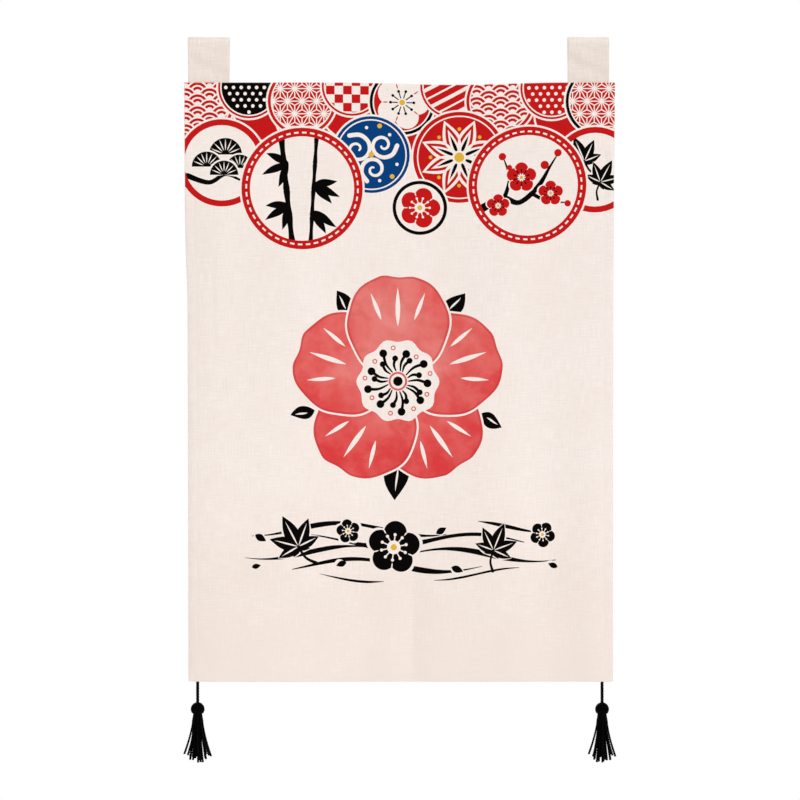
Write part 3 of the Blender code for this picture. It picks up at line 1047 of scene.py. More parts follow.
def tab_dent(across, z):
    """How far the front of a loop is pushed in."""
    (x0, z0), (x1, z1) = TAB_DENT_LINE
    away = ((across - x0) * (z1 - z0) - (z - z0) * (x1 - x0)) / math.dist(*TAB_DENT_LINE)
    return TAB_DENT_DEPTH * bump(away, TAB_DENT_HALF) * soft_step((z - HEADING_Z) / TAB_DENT_ENDS)


def lengths_along(path):
    """How far along a path each of its points is."""
    lengths = [0.0]
    for start, end in zip(path, path[1:]):
        lengths.append(lengths[-1] + math.dist(start, end))
    return lengths


def fold_tab(node, name):
    """The outline carried along the path, with the cloth's unevenness, and closed at both ends."""
    path, outline = tab_path(), tab_outline()
    around, lengths = lengths_along([*outline, outline[0]]), lengths_along(path)
    points = []
    for index, ((y, z), walked) in enumerate(zip(path, lengths)):
        before, after = beside(path, index)
        along = Vector((0.0, after[0] - before[0], after[1] - before[1])).normalized()
        out_of = Vector((0.0, -along.z, along.y))
        loose = soft_step((z - HEADING_Z) / TAB_LOOSE_ABOVE)
        for across, out in outline:
            ripple = sum(share * math.sin(across * over + walked * onward)
                         for over, onward, share in TAB_RIPPLES)
            wave = TAB_RIPPLE_DEPTH * loose * ripple
            if y < 0:
                wave -= tab_dent(across, z)
            phase = 1 if across > 0 else 3
            slack = 1 + TAB_SLACK * loose * math.sin(walked * TAB_SLACK_WAVE + phase)
            points.append(Vector((TAB_X[node] + across * slack, y, z)) + out_of * (out + wave))
    ring = len(outline)
    faces, uvs = [], []
    for row in range(len(path) - 1):
        for column in range(ring):
            after = (column + 1) % ring
            faces.append((row * ring + column, row * ring + after,
                          (row + 1) * ring + after, (row + 1) * ring + column))
            for over, onward in ((0, 0), (1, 0), (1, 1), (0, 1)):
                uvs.extend((around[column + over], lengths[row + onward]))
    for cap in (range(ring), range(len(points) - 1, len(points) - ring - 1, -1)):
        faces.append(tuple(cap))
        for number in cap:
            uvs.extend((points[number].x - TAB_X[node], CAP_MAP_V + points[number].y))
    tab = mesh_object(name, points, faces)
    tab.data.uv_layers.new(name="threads").data.foreach_set("uv", uvs)
    tools = bmesh.new()
    tools.from_mesh(tab.data)
    bmesh.ops.recalc_face_normals(tools, faces=tools.faces)
    tools.to_mesh(tab.data)
    tools.free()
    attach(tab, "root")
    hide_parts(node)
    print(name, "is", round(lengths[-1] / MM), "mm long,", triangles(tab), "triangles")
    return tab


tabs = [fold_tab("tab_left", "tab_left_cloth"), fold_tab("tab_right", "tab_right_cloth")]

# %% [markdown]
# ## Sewing
#
# The hem is closed with slanting hand stitches, and each tab with machine stitches round a box and
# across it. Both show only on the back, where the thread lies on the cloth. One stitch is modelled,
# a short bent capsule that dips into the cloth at both ends, and copied to every place.

# %% Model one stitch
STITCH_LONG, STITCH_RADIUS = 0.0030, 0.00032
STITCH_DIPS, STITCH_PROUD = 0.00034, 0.00012

bpy.ops.object.select_all(action="DESELECT")
bpy.ops.mesh.primitive_uv_sphere_add(segments=6, ring_count=8, radius=1.0)
stitch = bpy.context.active_object
pick(stitch)
bpy.ops.transform.rotate(value=math.radians(90), orient_axis="Y", center_override=(0, 0, 0))
bpy.ops.transform.resize(value=(STITCH_LONG / 2, STITCH_RADIUS, STITCH_RADIUS))
settle(stitch, "one_stitch")
for vertex in stitch.data.vertices:
    vertex.co.y -= STITCH_DIPS * (vertex.co.x / (STITCH_LONG / 2)) ** 2 - STITCH_PROUD
print("one stitch:", triangles(stitch), "triangles")


# %% Copy it round the hem and the tabs' boxes
HEM_STITCH_PITCH, HEM_STITCH_SLANT, HEM_THREAD_SUNK = 0.0065, 0.62, 0.00002
# Sewn by hand: how far off its place a stitch may be, and how far it may be turned.
STITCH_OFF, STITCH_TURNED = 0.0002, 0.06
HEM_SEAM_INSET = HEM_WIDTH + HEM_STEP * 0.45
BOX_STITCH_PITCH, BOX_THREAD_PROUD = 0.0040, 0.00006
BOX_INSET, BOX_TOP, BOX_FOOT = 0.0040, 0.0040, 0.0165
TAB_BACK_Y = TAB_LAYER_Y + TAB_THICKNESS / 2


def copies(pattern, name, placings):
    """One mesh that holds the pattern once for each placing."""
    points, faces = [], []
    for placing in placings:
        start = len(points)
        points.extend(placing @ vertex.co for vertex in pattern.data.vertices)
        faces.extend(tuple(start + index for index in polygon.vertices)
                     for polygon in pattern.data.polygons)
    return mesh_object(name, points, faces)


def laid_at(place, turn):
    """Puts a stitch at a place, turned in the plane of the cloth."""
    return Matrix.Translation(place) @ Matrix.Rotation(turn, 4, "Y")


def seam(corners, pitch):
    """Stitches along a line of (across, down): where each one's middle is, and its heading."""
    for start, end in zip(corners, corners[1:]):
        count = round(math.dist(start, end) / pitch)
        heading = math.atan2(end[1] - start[1], end[0] - start[0])
        for index in range(count):
            yield (*between(start, end, (index + 0.5) / count), heading)


rng = random.Random(11)
corners = [(across * MM, down * MM) for across, down in inset_rectangle(HEM_SEAM_INSET / MM)]
placings = []
for across, down, heading in seam([*corners, corners[0]], HEM_STITCH_PITCH):
    across += rng.uniform(-1, 1) * STITCH_OFF
    down += rng.uniform(-1, 1) * STITCH_OFF
    turn = heading + HEM_STITCH_SLANT + rng.uniform(-STITCH_TURNED, STITCH_TURNED)
    place = hung(across / MM, down / MM, 1) - Vector((0, HEM_THREAD_SUNK, 0))
    placings.append(laid_at(place, turn))
hem_thread = copies(stitch, "hem_stitches", placings)

placings = []
for tab_x in TAB_X.values():
    left, right = tab_x - TAB_WIDTH / 2 + BOX_INSET, tab_x + TAB_WIDTH / 2 - BOX_INSET
    box = [(left, BOX_TOP), (right, BOX_TOP), (right, BOX_FOOT), (left, BOX_FOOT)]
    for corners in ([*box, box[0]], box[::2], box[1::2]):
        for across, down, heading in seam(corners, BOX_STITCH_PITCH):
            place = Vector((across, TAB_BACK_Y + BOX_THREAD_PROUD, HEADING_Z - down))
            placings.append(laid_at(place, heading))
tab_thread = copies(stitch, "tab_stitches", placings)
bpy.data.objects.remove(stitch, do_unlink=True)
for thread, slot in ((hem_thread, "printed_linen"), (tab_thread, "plain_linen")):
    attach(thread, "root")
print("stitches:", triangles(hem_thread) + triangles(tab_thread), "triangles")

# %% [markdown]
# ## Yarn
#
# A twisted yarn is two or three plies round each other. A curve makes it well: its outline has a
# soft lobe for each ply, and the tilt at each point turns the outline as it goes along, so the
# lobes run round as plies do. A cord is thicker, so its three plies are curves of their own.

# %% Yarn tools
MERGE_YARN = 0.000005


def yarn_outline(name, lobes, points_a_lobe, relief):
    """A closed outline of radius 1, with one soft lobe for each ply."""
    curve = bpy.data.curves.new(name, "CURVE")
    curve.dimensions = "2D"
    spline = curve.splines.new("POLY")
    count = lobes * points_a_lobe
    spline.points.add(count - 1)
    for index, point in enumerate(spline.points):
        angle = TAU * index / count
        radius = 1 - relief * (0.5 - 0.5 * math.cos(lobes * angle))
        point.co = (radius * math.cos(angle), radius * math.sin(angle), 0.0, 1.0)
    spline.use_cyclic_u = True
    return linked(name, curve)


def twist_yarns(name, outline, yarns):
    """One mesh from many yarns, each a list of (point, radius) and its length of one twist."""
    curve = bpy.data.curves.new(name, "CURVE")
    curve.dimensions = "3D"
    curve.bevel_mode = "OBJECT"
    curve.bevel_object = outline
    curve.use_fill_caps = True
    for path, pitch in yarns:
        spline = curve.splines.new("POLY")
        spline.points.add(len(path) - 1)
        walked = 0.0
        for index, (point, (place, radius)) in enumerate(zip(spline.points, path)):
            if index:
                walked += (Vector(place) - Vector(path[index - 1][0])).length
            point.co = (*place, 1.0)
            point.radius = radius
            point.tilt = TAU * walked / pitch if pitch else 0.0
    pick(linked(name, curve))
    bpy.ops.object.convert(target="MESH")
    made = bpy.context.active_object
    bpy.ops.object.mode_set(mode="EDIT")
    bpy.ops.mesh.select_all(action="SELECT")
    bpy.ops.mesh.remove_doubles(threshold=MERGE_YARN)
    bpy.ops.mesh.normals_make_consistent(inside=False)
    bpy.ops.object.mode_set(mode="OBJECT")
    return settle(made, name)


def off_line(angle, out, z, x=0.0, y=0.0):
    """A point at an angle and a distance from an upright line."""
    return x + out * math.cos(angle), y + out * math.sin(angle), z


ply_outline = yarn_outline("ply_outline", 2, 5, 0.10)
strand_outline = yarn_outline("strand_outline", 3, 4, 0.22)
print("outlines ready")


# %% Lay the cords' three plies
TASSEL_X = {"tassel_left": -0.2362, "tassel_right": 0.2366}
TASSEL_BELOW_HEM = 0.0246
BEHIND_CLOTH = 0.0006
CORD_RADIUS, CORD_BEHIND_HEM, CORD_INTO_HEAD, CORD_STEPS = 0.00155, 0.0120, 0.0008, 130
PLIES, CORD_PITCH, PLY_PITCH = 3, 0.0100, 0.0030
PLY_RADIUS, PLY_OUT = CORD_RADIUS * 0.68, CORD_RADIUS * 0.60
CORD_TOP = CLOTH_HEIGHT - CORD_BEHIND_HEM
# The cord's upper end is whipped with thin thread, so that it can't unlay.
WHIPPING_TURNS, WHIPPING_STEPS, WHIPPING_FROM, WHIPPING_LONG = 4, 24, 0.0008, 0.0022
WHIPPING_OUT, WHIPPING_RADIUS = CORD_RADIUS * 1.08, 0.00030
# Three stitches tack it to the hem: their places over the hem's edge, and half an oval of thread.
TACKS_UP = (0.0022, 0.0050, 0.0078)
TACK_SLOPE, TACK_STEPS, TACK_RADIUS = 0.0006, 12, 0.00026
TACK_WIDE, TACK_DEEP, TACK_FRONT = CORD_RADIUS * 1.20, CORD_RADIUS * 2.1, CORD_RADIUS * 0.9


def cord_hang_y(x, down):
    """How far back a cord lies against the back of the hem."""
    back = max(fold_depth(x + side * CORD_RADIUS, down) for side in (-1, 0, 1))
    return FRONT_Y + back + HEM_THICKNESS + BEHIND_CLOTH + CORD_RADIUS


def lay_cord(node, tassel, name):
    """Three plies laid round each other, and the threads that hold them."""
    x = TASSEL_X[tassel]
    hang_y = cord_hang_y(x, CLOTH_HEIGHT)
    length = CORD_BEHIND_HEM + TASSEL_BELOW_HEM + CORD_INTO_HEAD

    def middle_y(down):
        return max(cord_hang_y(x, min(down, CLOTH_HEIGHT)), hang_y)

    yarns = []
    for ply in range(PLIES):
        path = []
        for step in range(CORD_STEPS + 1):
            walked = length * step / CORD_STEPS
            down = CORD_TOP + walked
            angle = TAU * (ply / PLIES + walked / CORD_PITCH)
            path.append((off_line(angle, PLY_OUT, HEADING_Z - down, x, middle_y(down)), PLY_RADIUS))
        yarns.append((path, PLY_PITCH))
    whipping = []
    for step in range(WHIPPING_TURNS * WHIPPING_STEPS + 1):
        angle = TAU * step / WHIPPING_STEPS
        share = step / (WHIPPING_TURNS * WHIPPING_STEPS)
        down = CORD_TOP + WHIPPING_FROM + WHIPPING_LONG * share
        whipping.append((off_line(angle, WHIPPING_OUT, HEADING_Z - down, x, middle_y(down)),
                         WHIPPING_RADIUS))
    yarns.append((whipping, 0.0))
    for up in TACKS_UP:
        path = []
        for step in range(TACK_STEPS + 1):
            turn = math.pi * step / TACK_STEPS
            down = CLOTH_HEIGHT - up + TACK_SLOPE * math.cos(turn)
            y = middle_y(down) - TACK_FRONT + TACK_DEEP * math.sin(turn)
            path.append(((x + TACK_WIDE * math.cos(turn), y, HEADING_Z - down), TACK_RADIUS))
        yarns.append((path, 0.0))
    cord = twist_yarns(name, ply_outline, yarns)
    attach(cord, "root")
    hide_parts(node)
    print(name, triangles(cord), "triangles")
    return cord


cords = [lay_cord("tassel_cord_left", "tassel_left", "tassel_cord_left_plies"),
         lay_cord("tassel_cord_right", "tassel_right", "tassel_cord_right_plies")]

# %% [markdown]
# ## The tassels
#
# A hank of rayon yarn hangs over the cord's end, is drawn down over a small core and bound at the
# waist. So the head shows turns that run from the top to the waist, then come a few turns of
# binding, and below it the same yarns open out into the skirt. The core is a sphere that has been
# drawn out into a neck, so that no light comes through between the yarns.

# %% Wind the heads
BALL_RADIUS, BALL_TOP_RADIUS, WAIST_RADIUS = 0.00745, 0.0020, 0.0052
BALL_Z = -math.sqrt(BALL_RADIUS ** 2 - BALL_TOP_RADIUS ** 2)
WAIST_Z = BALL_Z - math.sqrt(BALL_RADIUS ** 2 - WAIST_RADIUS ** 2)
HEAD_TURNS, HEAD_STEPS, HEAD_UNEVEN = 26, 40, 0.12
HEAD_SLANT = math.radians(16)
HEAD_PROUD, HEAD_LOW = 0.00075, 0.0006
# Turns are thinner near the top, where they crowd, and overlap a little all the way.
HEAD_YARN_RADIUS, HEAD_OVERLAP = 0.00094, 1.12
# The binding pinches the turns from here on, and their ends run in under it.
PINCH_FROM, PINCH_DEPTH = 0.86, 0.0011
TUCKED_OUT, TUCKED_BELOW, TUCKED_RADIUS = 0.0036, 0.0016, 0.0005
BINDING_TURNS, BINDING_STEPS, BINDING_BELOW = 4, 60, 0.0002
BINDING_RISE, BINDING_OUT, BINDING_RADIUS = 0.00078, 0.00478, 0.00047
HEAD_PITCH, BINDING_PITCH = 0.0078, 0.0032


def head_yarns(rng):
    """Turns from the cord over the ball to the waist, slanted a little, as wound."""
    first_tip = math.asin(BALL_TOP_RADIUS / BALL_RADIUS)
    half_ball = math.pi - math.asin(WAIST_RADIUS / BALL_RADIUS) - first_tip
    for index in range(HEAD_TURNS):
        start = TAU * (index + rng.uniform(-HEAD_UNEVEN, HEAD_UNEVEN)) / HEAD_TURNS
        path = []
        for step in range(HEAD_STEPS + 1):
            t = step / HEAD_STEPS
            tip = first_tip + half_ball * t
            room = math.sin(tip) * BALL_RADIUS * math.pi / HEAD_TURNS * HEAD_OVERLAP
            thick = min(HEAD_YARN_RADIUS, room)
            out = BALL_RADIUS + HEAD_PROUD - thick
            pinch = soft_step((t - PINCH_FROM) / (1 - PINCH_FROM)) * PINCH_DEPTH
            angle = start + HEAD_SLANT * (t - 0.5)
            z = BALL_Z - HEAD_LOW + out * math.cos(tip)
            path.append((off_line(angle, out * math.sin(tip) - pinch, z), thick))
        path.append((off_line(angle, TUCKED_OUT, WAIST_Z - TUCKED_BELOW), TUCKED_RADIUS))
        yield path, HEAD_PITCH


def binding_yarn():
    """One thread wound round the waist, each turn below the last."""
    path = []
    for step in range(BINDING_TURNS * BINDING_STEPS + 1):
        angle = TAU * step / BINDING_STEPS
        down = BINDING_BELOW + BINDING_RISE * step / BINDING_STEPS
        path.append((off_line(angle, BINDING_OUT, WAIST_Z - down), BINDING_RADIUS))
    return path, BINDING_PITCH


print("head of", HEAD_TURNS, "turns and", BINDING_TURNS, "turns of binding")

# %% Hang the skirt's strands
COLLAR_LENGTH, SKIRT_LENGTH, SKIRT_FLARE, SKIRT_CURVE = 0.0120, 0.0570, 0.0134, 1.6
# Rings of strands: (count, radius under the collar, share of the flare, turn of the first).
STRAND_RINGS = ((8, 0.0058, 1.00, 0), (8, 0.0044, 0.50, 22), (6, 0.0028, 0.26, 8),
                (1, 0.0, 0.04, 0))
STRAND_RADIUS, STRAND_PITCH, STRAND_STEPS = 0.00122, 0.0086, 80
# Strands stand in pairs, and at the waist they are held in to this share of their radius.
PAIRED, HELD_IN = math.radians(3.0), 0.74
# Cut ends: outer strands are shorter, inner ones longer and uneven, and all in soft waves.
OUTER_STRAND_SHORTER, SHORTER_CURVE = 0.0074, 1.6
INNER_STRAND_LONGER, INNER_STRANDS_UNEVEN = 0.0016, 0.0090
TIP_WAVES = ((3, 0.0022), (5, 0.0016), (8, 0.0011))
LEAN_WAVES = ((2, 0.0007), (5, 0.0009))
# A strand sways to and fro below the collar, and swells a little over its last stretch.
SWAY_LEAST, SWAY_MOST, SWAY_OUT, SWAY_WAVE, SWAY_GROWS = 0.0002, 0.0006, 0.006, 0.011, 0.020
TIP_STRETCH, TIP_FULLER = 0.030, 0.14
# At its end it splits into fine plies: how long, and how far out they start and lean.
FRAYED_PLIES, FRAY_STEPS, FRAY, FRAY_BACK = 5, 4, 0.0016, 0.0012
FRAY_OUT, FRAY_SPLAY, FRAY_RADIUS, FRAY_TAPER = 0.00052, 0.00012, 0.00050, 0.35


def skirt_flare(down):
    return SKIRT_FLARE * (max(down, 0.0) / SKIRT_LENGTH) ** SKIRT_CURVE


def waves(table, angle):
    return sum(size * math.sin(count * angle + count) for count, size in table)


def frayed_ends(end, onward, phase, rng):
    """The fine plies that a strand splits into where it is cut."""
    for ply in range(FRAYED_PLIES):
        splay = Vector(off_line(phase + ply * TAU / FRAYED_PLIES, 1.0, 0.0))
        long = FRAY * rng.uniform(0.80, 1)
        fray = []
        for step in range(FRAY_STEPS + 1):
            t = step / FRAY_STEPS
            spot = (end + onward * (long * t - FRAY_BACK)
                    + splay * (FRAY_OUT + FRAY_SPLAY * t * t))
            fray.append((tuple(spot), FRAY_RADIUS * (1 - FRAY_TAPER * t ** 3)))
        yield fray, 0.0


def strand_yarns(rng):
    """Skirt strands, each with its frayed end."""
    for count, root_radius, share, first in STRAND_RINGS:
        for index in range(count):
            angle = math.radians(first) + TAU * index / count + PAIRED * (-1) ** index
            swing = SKIRT_FLARE * share
            cut_off = OUTER_STRAND_SHORTER - waves(TIP_WAVES, angle + math.pi)
            shorter = share ** SHORTER_CURVE * cut_off
            longer = INNER_STRAND_LONGER - rng.uniform(0, INNER_STRANDS_UNEVEN) * min(1, 4 * share)
            length = math.sqrt(SKIRT_LENGTH ** 2 - swing ** 2) - shorter + longer * (1 - share)
            lean = share * waves(LEAN_WAVES, angle)
            phase, sway = rng.uniform(0, TAU), rng.uniform(SWAY_LEAST, SWAY_MOST)
            path = []
            for step in range(STRAND_STEPS + 1):
                down = length * step / STRAND_STEPS
                below = max(down - COLLAR_LENGTH, 0.0)
                opened = max(skirt_flare(down) - skirt_flare(COLLAR_LENGTH), 0.0) / SKIRT_FLARE
                held = soft_step(down / COLLAR_LENGTH)
                out = root_radius * (HELD_IN + (1 - HELD_IN) * held) + (swing + lean) * opened
                swayed = math.sin(below / SWAY_WAVE + phase) * soft_step(below / SWAY_GROWS)
                tip = soft_step((length - down) / TIP_STRETCH)
                path.append((off_line(angle + sway / SWAY_OUT * swayed, out, WAIST_Z - down),
                             STRAND_RADIUS * (1 + TIP_FULLER - TIP_FULLER * tip)))
            yield path, STRAND_PITCH
            before, end = Vector(path[-2][0]), Vector(path[-1][0])
            yield from frayed_ends(end, (end - before).normalized(), phase, rng)


print("skirt of", sum(ring[0] for ring in STRAND_RINGS), "strands")

# %% Draw out the core and put each tassel together
CORE_INSIDE, CORE_SEGMENTS, CORE_RINGS = 0.0011, 24, 16
# The core's low cap is drawn down twice: how far each time, and the neck's radius there.
NECK_STEP, NECK_RADII, LOW_CAP = 0.0052, (0.0036, 0.0052), 0.0016


def drawn_core(name):
    """A sphere whose lower end is drawn out into a neck that opens inside the skirt."""
    bpy.ops.object.select_all(action="DESELECT")
    bpy.ops.mesh.primitive_uv_sphere_add(segments=CORE_SEGMENTS, ring_count=CORE_RINGS,
                                         radius=BALL_RADIUS - CORE_INSIDE, location=(0, 0, BALL_Z))
    core = settle(bpy.context.active_object, name)
    for radius in NECK_RADII:
        bpy.ops.object.mode_set(mode="EDIT")
        bpy.ops.mesh.select_all(action="DESELECT")
        bpy.ops.object.mode_set(mode="OBJECT")
        lowest = min(vertex.co.z for vertex in core.data.vertices)
        for polygon in core.data.polygons:
            polygon.select = polygon.center.z < lowest + LOW_CAP
        bpy.ops.object.mode_set(mode="EDIT")
        bpy.ops.mesh.extrude_region_move(TRANSFORM_OT_translate={"value": (0, 0, -NECK_STEP)})
        cap = [vertex.co for vertex in bmesh.from_edit_mesh(core.data).verts if vertex.select]
        wide = max(math.hypot(place.x, place.y) for place in cap)
        bpy.ops.transform.resize(value=(radius / wide, radius / wide, 1))
        bpy.ops.object.mode_set(mode="OBJECT")
    return settle(core, name)


def wind_tassel(node):
    """A tassel's four pieces, made round the upright line and then hung on its cord."""
    rng = random.Random(len(node))
    hang_y = cord_hang_y(TASSEL_X[node], CLOTH_HEIGHT)
    hang = (TASSEL_X[node], hang_y, HEADING_Z - CLOTH_HEIGHT - TASSEL_BELOW_HEM)
    pieces = [
        twist_yarns(node + "_head", strand_outline, list(head_yarns(rng))),
        twist_yarns(node + "_binding", ply_outline, [binding_yarn()]),
        twist_yarns(node + "_skirt", strand_outline, list(strand_yarns(rng))),
        drawn_core(node + "_core"),
    ]
    for piece in pieces:
        pick(piece)
        bpy.ops.transform.translate(value=hang)
        settle(piece, piece.name)
        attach(piece, "root")
        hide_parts(node)
    print(node, "in", sum(triangles(piece) for piece in pieces), "triangles")
    return pieces


tassels = [piece for node in TASSEL_X for piece in wind_tassel(node)]
for outline in (ply_outline, strand_outline):
    bpy.data.objects.remove(outline, do_unlink=True)

# %% [markdown]
# ## Finishes
#
# Slubbed linen blend: a plain weave whose threads swell and thin, so the cloth is streaked faintly
# both ways, and matt. The threads are about 0.5 mm apart; they are drawn at 0.8 mm to show. The
# pigment ink lies on top of the threads and misses some of the valleys. The maps are in metres
# along the threads, so every pattern scale below is a real size.


# %% One node helper
def add_node(tree, kind, sockets=(), **settings):
    """Adds a node: its settings by name, and values or links for its input sockets."""
    made = tree.nodes.new("ShaderNode" + kind)
    for name, value in settings.items():
        setattr(made, name, value)
    for socket, value in dict(sockets).items():
        if isinstance(value, bpy.types.NodeSocket):
            tree.links.new(value, made.inputs[socket])
        else:
            made.inputs[socket].default_value = value
    return made.outputs


def new_finish(name):
    finish = bpy.data.materials.new(name)
    finish.use_nodes = True
    return finish, finish.node_tree, finish.node_tree.nodes["Principled BSDF"]


THREAD_PITCH = 0.0008
SLUB_WIDTH, SLUB_LENGTH = 0.0009, 0.0200
CLOUD_SIZE, BLOOM_SIZE = 0.070, 0.030
# Now and then a thick thread runs on as a faint dark line: its width, its length and its depth.
THICK_WIDTH, THICK_LENGTH, THICK_DEPTH = 0.0010, 0.0340, 0.50
# Painted shade, darker towards the cloth's lower end: from how far down it starts, and how much
# darker.
PAINTED_SHADE_FROM, PAINTED_SHADE_DEPTH = 0.46, 0.46
print("thread pitch", THREAD_PITCH / MM, "mm")


# %% Slubbed linen
def slubbed_linen(name, hex_light, hex_dark, printed):
    """Woven linen blend: matt, streaked both ways by uneven threads, with a fine grid of bumps."""
    finish, tree, shader = new_finish(name)
    place = add_node(tree, "UVMap", uv_map="threads")["UV"]
    streaks = []
    for wide, long, seed in ((SLUB_WIDTH, SLUB_LENGTH, 3.0), (SLUB_LENGTH, SLUB_WIDTH, 7.0),
                             (THICK_WIDTH, THICK_LENGTH, 11.0), (THICK_LENGTH, THICK_WIDTH, 17.0)):
        laid = add_node(tree, "Mapping", {0: place, "Location": (seed, seed, 0.0),
                                          "Scale": (1 / wide, 1 / long, 1.0)})["Vector"]
        streaks.append(add_node(tree, "TexNoise", {"Vector": laid, "Scale": 1.0, "Detail": 2.0,
                                                   "Roughness": 0.55})[0])
    slub = add_node(tree, "Math", {0: streaks[0], 1: streaks[1]}, operation="ADD")[0]
    slub = add_node(tree, "MapRange", {"Value": slub, "From Min": 0.55, "From Max": 1.45})[0]
    thick = add_node(tree, "Math", {0: streaks[2], 1: streaks[3]}, operation="MAXIMUM")[0]
    thick = add_node(tree, "MapRange", {"Value": thick, "From Min": 0.62, "From Max": 0.72,
                                        "To Max": -THICK_DEPTH})[0]
    cloud = add_node(tree, "TexNoise", {"Vector": place, "Scale": 1 / CLOUD_SIZE, "Detail": 2.0})[0]
    tone = add_node(tree, "Math", {0: cloud, 1: 0.50, 2: slub}, operation="MULTIPLY_ADD")[0]
    split = add_node(tree, "SeparateXYZ", {0: place})
    # Painted shade: the cloth's colour is made darker towards its lower end.
    painted_shade_below = add_node(tree, "MapRange", {"Value": split[1], "From Min": PAINTED_SHADE_FROM,
                                          "From Max": CLOTH_HEIGHT, "To Max": -PAINTED_SHADE_DEPTH})[0]
    tone = add_node(tree, "Math", {0: tone, 1: painted_shade_below}, operation="ADD")[0]
    tone = add_node(tree, "Math", {0: tone, 1: thick}, operation="ADD")[0]
    tone = add_node(tree, "MapRange", {"Value": tone, "From Min": 0.38, "From Max": 1.12})[0]
    cloth = add_node(tree, "Mix", {0: tone, 6: (*linear(hex_dark), 1), 7: (*linear(hex_light), 1)},
                     data_type="RGBA")[2]

    ridges = []
    for axis in (0, 1):
        wave = add_node(tree, "Math", {0: split[axis], 1: math.pi / THREAD_PITCH},
                        operation="MULTIPLY")[0]
        wave = add_node(tree, "Math", {0: wave}, operation="SINE")[0]
        ridges.append(add_node(tree, "Math", {0: wave}, operation="ABSOLUTE")[0])
    weave = add_node(tree, "Math", {0: ridges[0], 1: ridges[1]}, operation="MULTIPLY")[0]
    height = add_node(tree, "Math", {0: slub, 1: 1.3, 2: weave}, operation="MULTIPLY_ADD")[0]

    if printed:
        ink = add_node(tree, "Attribute", attribute_name="ink")
        watery = add_node(tree, "Attribute", attribute_name="watery")["Fac"]
        bloom = add_node(tree, "TexNoise", {"Vector": place, "Scale": 1 / BLOOM_SIZE,
                                            "Detail": 4.0, "Roughness": 0.60,
                                            "Distortion": 0.35})[0]
        bloom = add_node(tree, "MapRange", {"Value": bloom, "From Min": 0.34, "From Max": 0.68},
                         interpolation_type="SMOOTHSTEP")[0]
        pale = add_node(tree, "Mix", {0: 0.11, 6: ink["Color"], 7: (*linear("#F6C4BE"), 1)},
                        data_type="RGBA")[2]
        deep = add_node(tree, "Mix", {0: 0.20, 6: ink["Color"], 7: (*linear("#CE2327"), 1)},
                        data_type="RGBA")[2]
        mottled = add_node(tree, "Mix", {0: bloom, 6: deep, 7: pale}, data_type="RGBA")[2]
        colour = add_node(tree, "Mix", {0: watery, 6: ink["Color"], 7: mottled},
                          data_type="RGBA")[2]
        missed = add_node(tree, "MapRange", {"Value": weave, "From Min": 0.12, "From Max": 0.0,
                                             "To Min": 1.0, "To Max": 0.985})[0]
        cover = add_node(tree, "Math", {0: ink["Alpha"], 1: missed}, operation="MULTIPLY")[0]
        cloth = add_node(tree, "Mix", {0: cover, 6: cloth, 7: colour}, data_type="RGBA")[2]
    tree.links.new(cloth, shader.inputs["Base Color"])
    shader.inputs["Roughness"].default_value = 0.92
    shader.inputs["Specular IOR Level"].default_value = 0.02
    bumped = add_node(tree, "Bump", {"Strength": 0.55, "Distance": 0.00016, "Height": height})[0]
    tree.links.new(bumped, shader.inputs["Normal"])
    return finish


printed_linen = slubbed_linen("slubbed linen blend, pigment printed", "#FBF3EE", "#F1E4DC", True)
plain_linen = slubbed_linen("slubbed linen blend, unprinted", "#F7EDE5", "#E8DBD1", False)
print("linen ready")


# %% Sewing thread and rayon yarn
FIBRE_STRETCH = 0.22


def spun(name, hex_colour, hex_worn, roughness, specular, sheen, fibre):
    """Spun or twisted thread: its fine fibres catch the light and dull its colour in places."""
    finish, tree, shader = new_finish(name)
    place = add_node(tree, "TexCoord")["Object"]
    stretch = (1 / fibre, 1 / fibre, FIBRE_STRETCH / fibre)
    laid = add_node(tree, "Mapping", {0: place, "Scale": stretch})["Vector"]
    fibres = add_node(tree, "TexNoise", {"Vector": laid, "Scale": 1.0, "Detail": 3.0})[0]
    lint = add_node(tree, "MapRange", {"Value": fibres, "From Min": 0.45, "From Max": 0.75})[0]
    colour = add_node(tree, "Mix", {0: lint, 6: (*linear(hex_colour), 1), 7: (*linear(hex_worn), 1)},
                      data_type="RGBA")[2]
    tree.links.new(colour, shader.inputs["Base Color"])
    dull = add_node(tree, "MapRange", {"Value": fibres, "To Min": roughness - 0.10,
                                       "To Max": roughness + 0.12})[0]
    tree.links.new(dull, shader.inputs["Roughness"])
    shader.inputs["Specular IOR Level"].default_value = specular
    shader.inputs["Sheen Weight"].default_value = sheen
    bumped = add_node(tree, "Bump", {"Strength": 0.5, "Distance": fibre * 0.4, "Height": fibres})[0]
    tree.links.new(bumped, shader.inputs["Normal"])
    return finish


cotton_thread = spun("cotton sewing thread", "#EFE4DA", "#DCCFC2", 0.8, 0.3, 0.1, 0.00020)
rayon_cord = spun("twisted rayon cord, dyed black", "#020102", "#070607", 0.42, 0.03, 0.0, 0.00018)
rayon_yarn = spun("wound rayon yarn, dyed black", "#020102", "#070607", 0.38, 0.03, 0.0, 0.00022)

for finish, pieces in ((printed_linen, [panel]), (plain_linen, tabs),
                       (cotton_thread, [hem_thread, tab_thread]), (rayon_cord, cords),
                       (rayon_yarn, tassels)):
    for piece in pieces:
        piece.data.materials.clear()
        piece.data.materials.append(finish)
print("finishes on")

# %% [markdown]
# ## Stage, light and camera
#
# The curtain hangs in front of plain white, seen straight on from far away, so that its sides stay
# parallel. One broad soft light from the upper right and a weaker one from the left show the folds
# faintly, a small one overhead brightens the loops' tops, and the white surroundings fill the rest.

# %% Set the stage
FLOOR_Z, FLOOR_RADIUS = -1.35, 4.8
FADE_FROM, FADE_TO = 0.9, 3.2
AMBIENT = 0.45


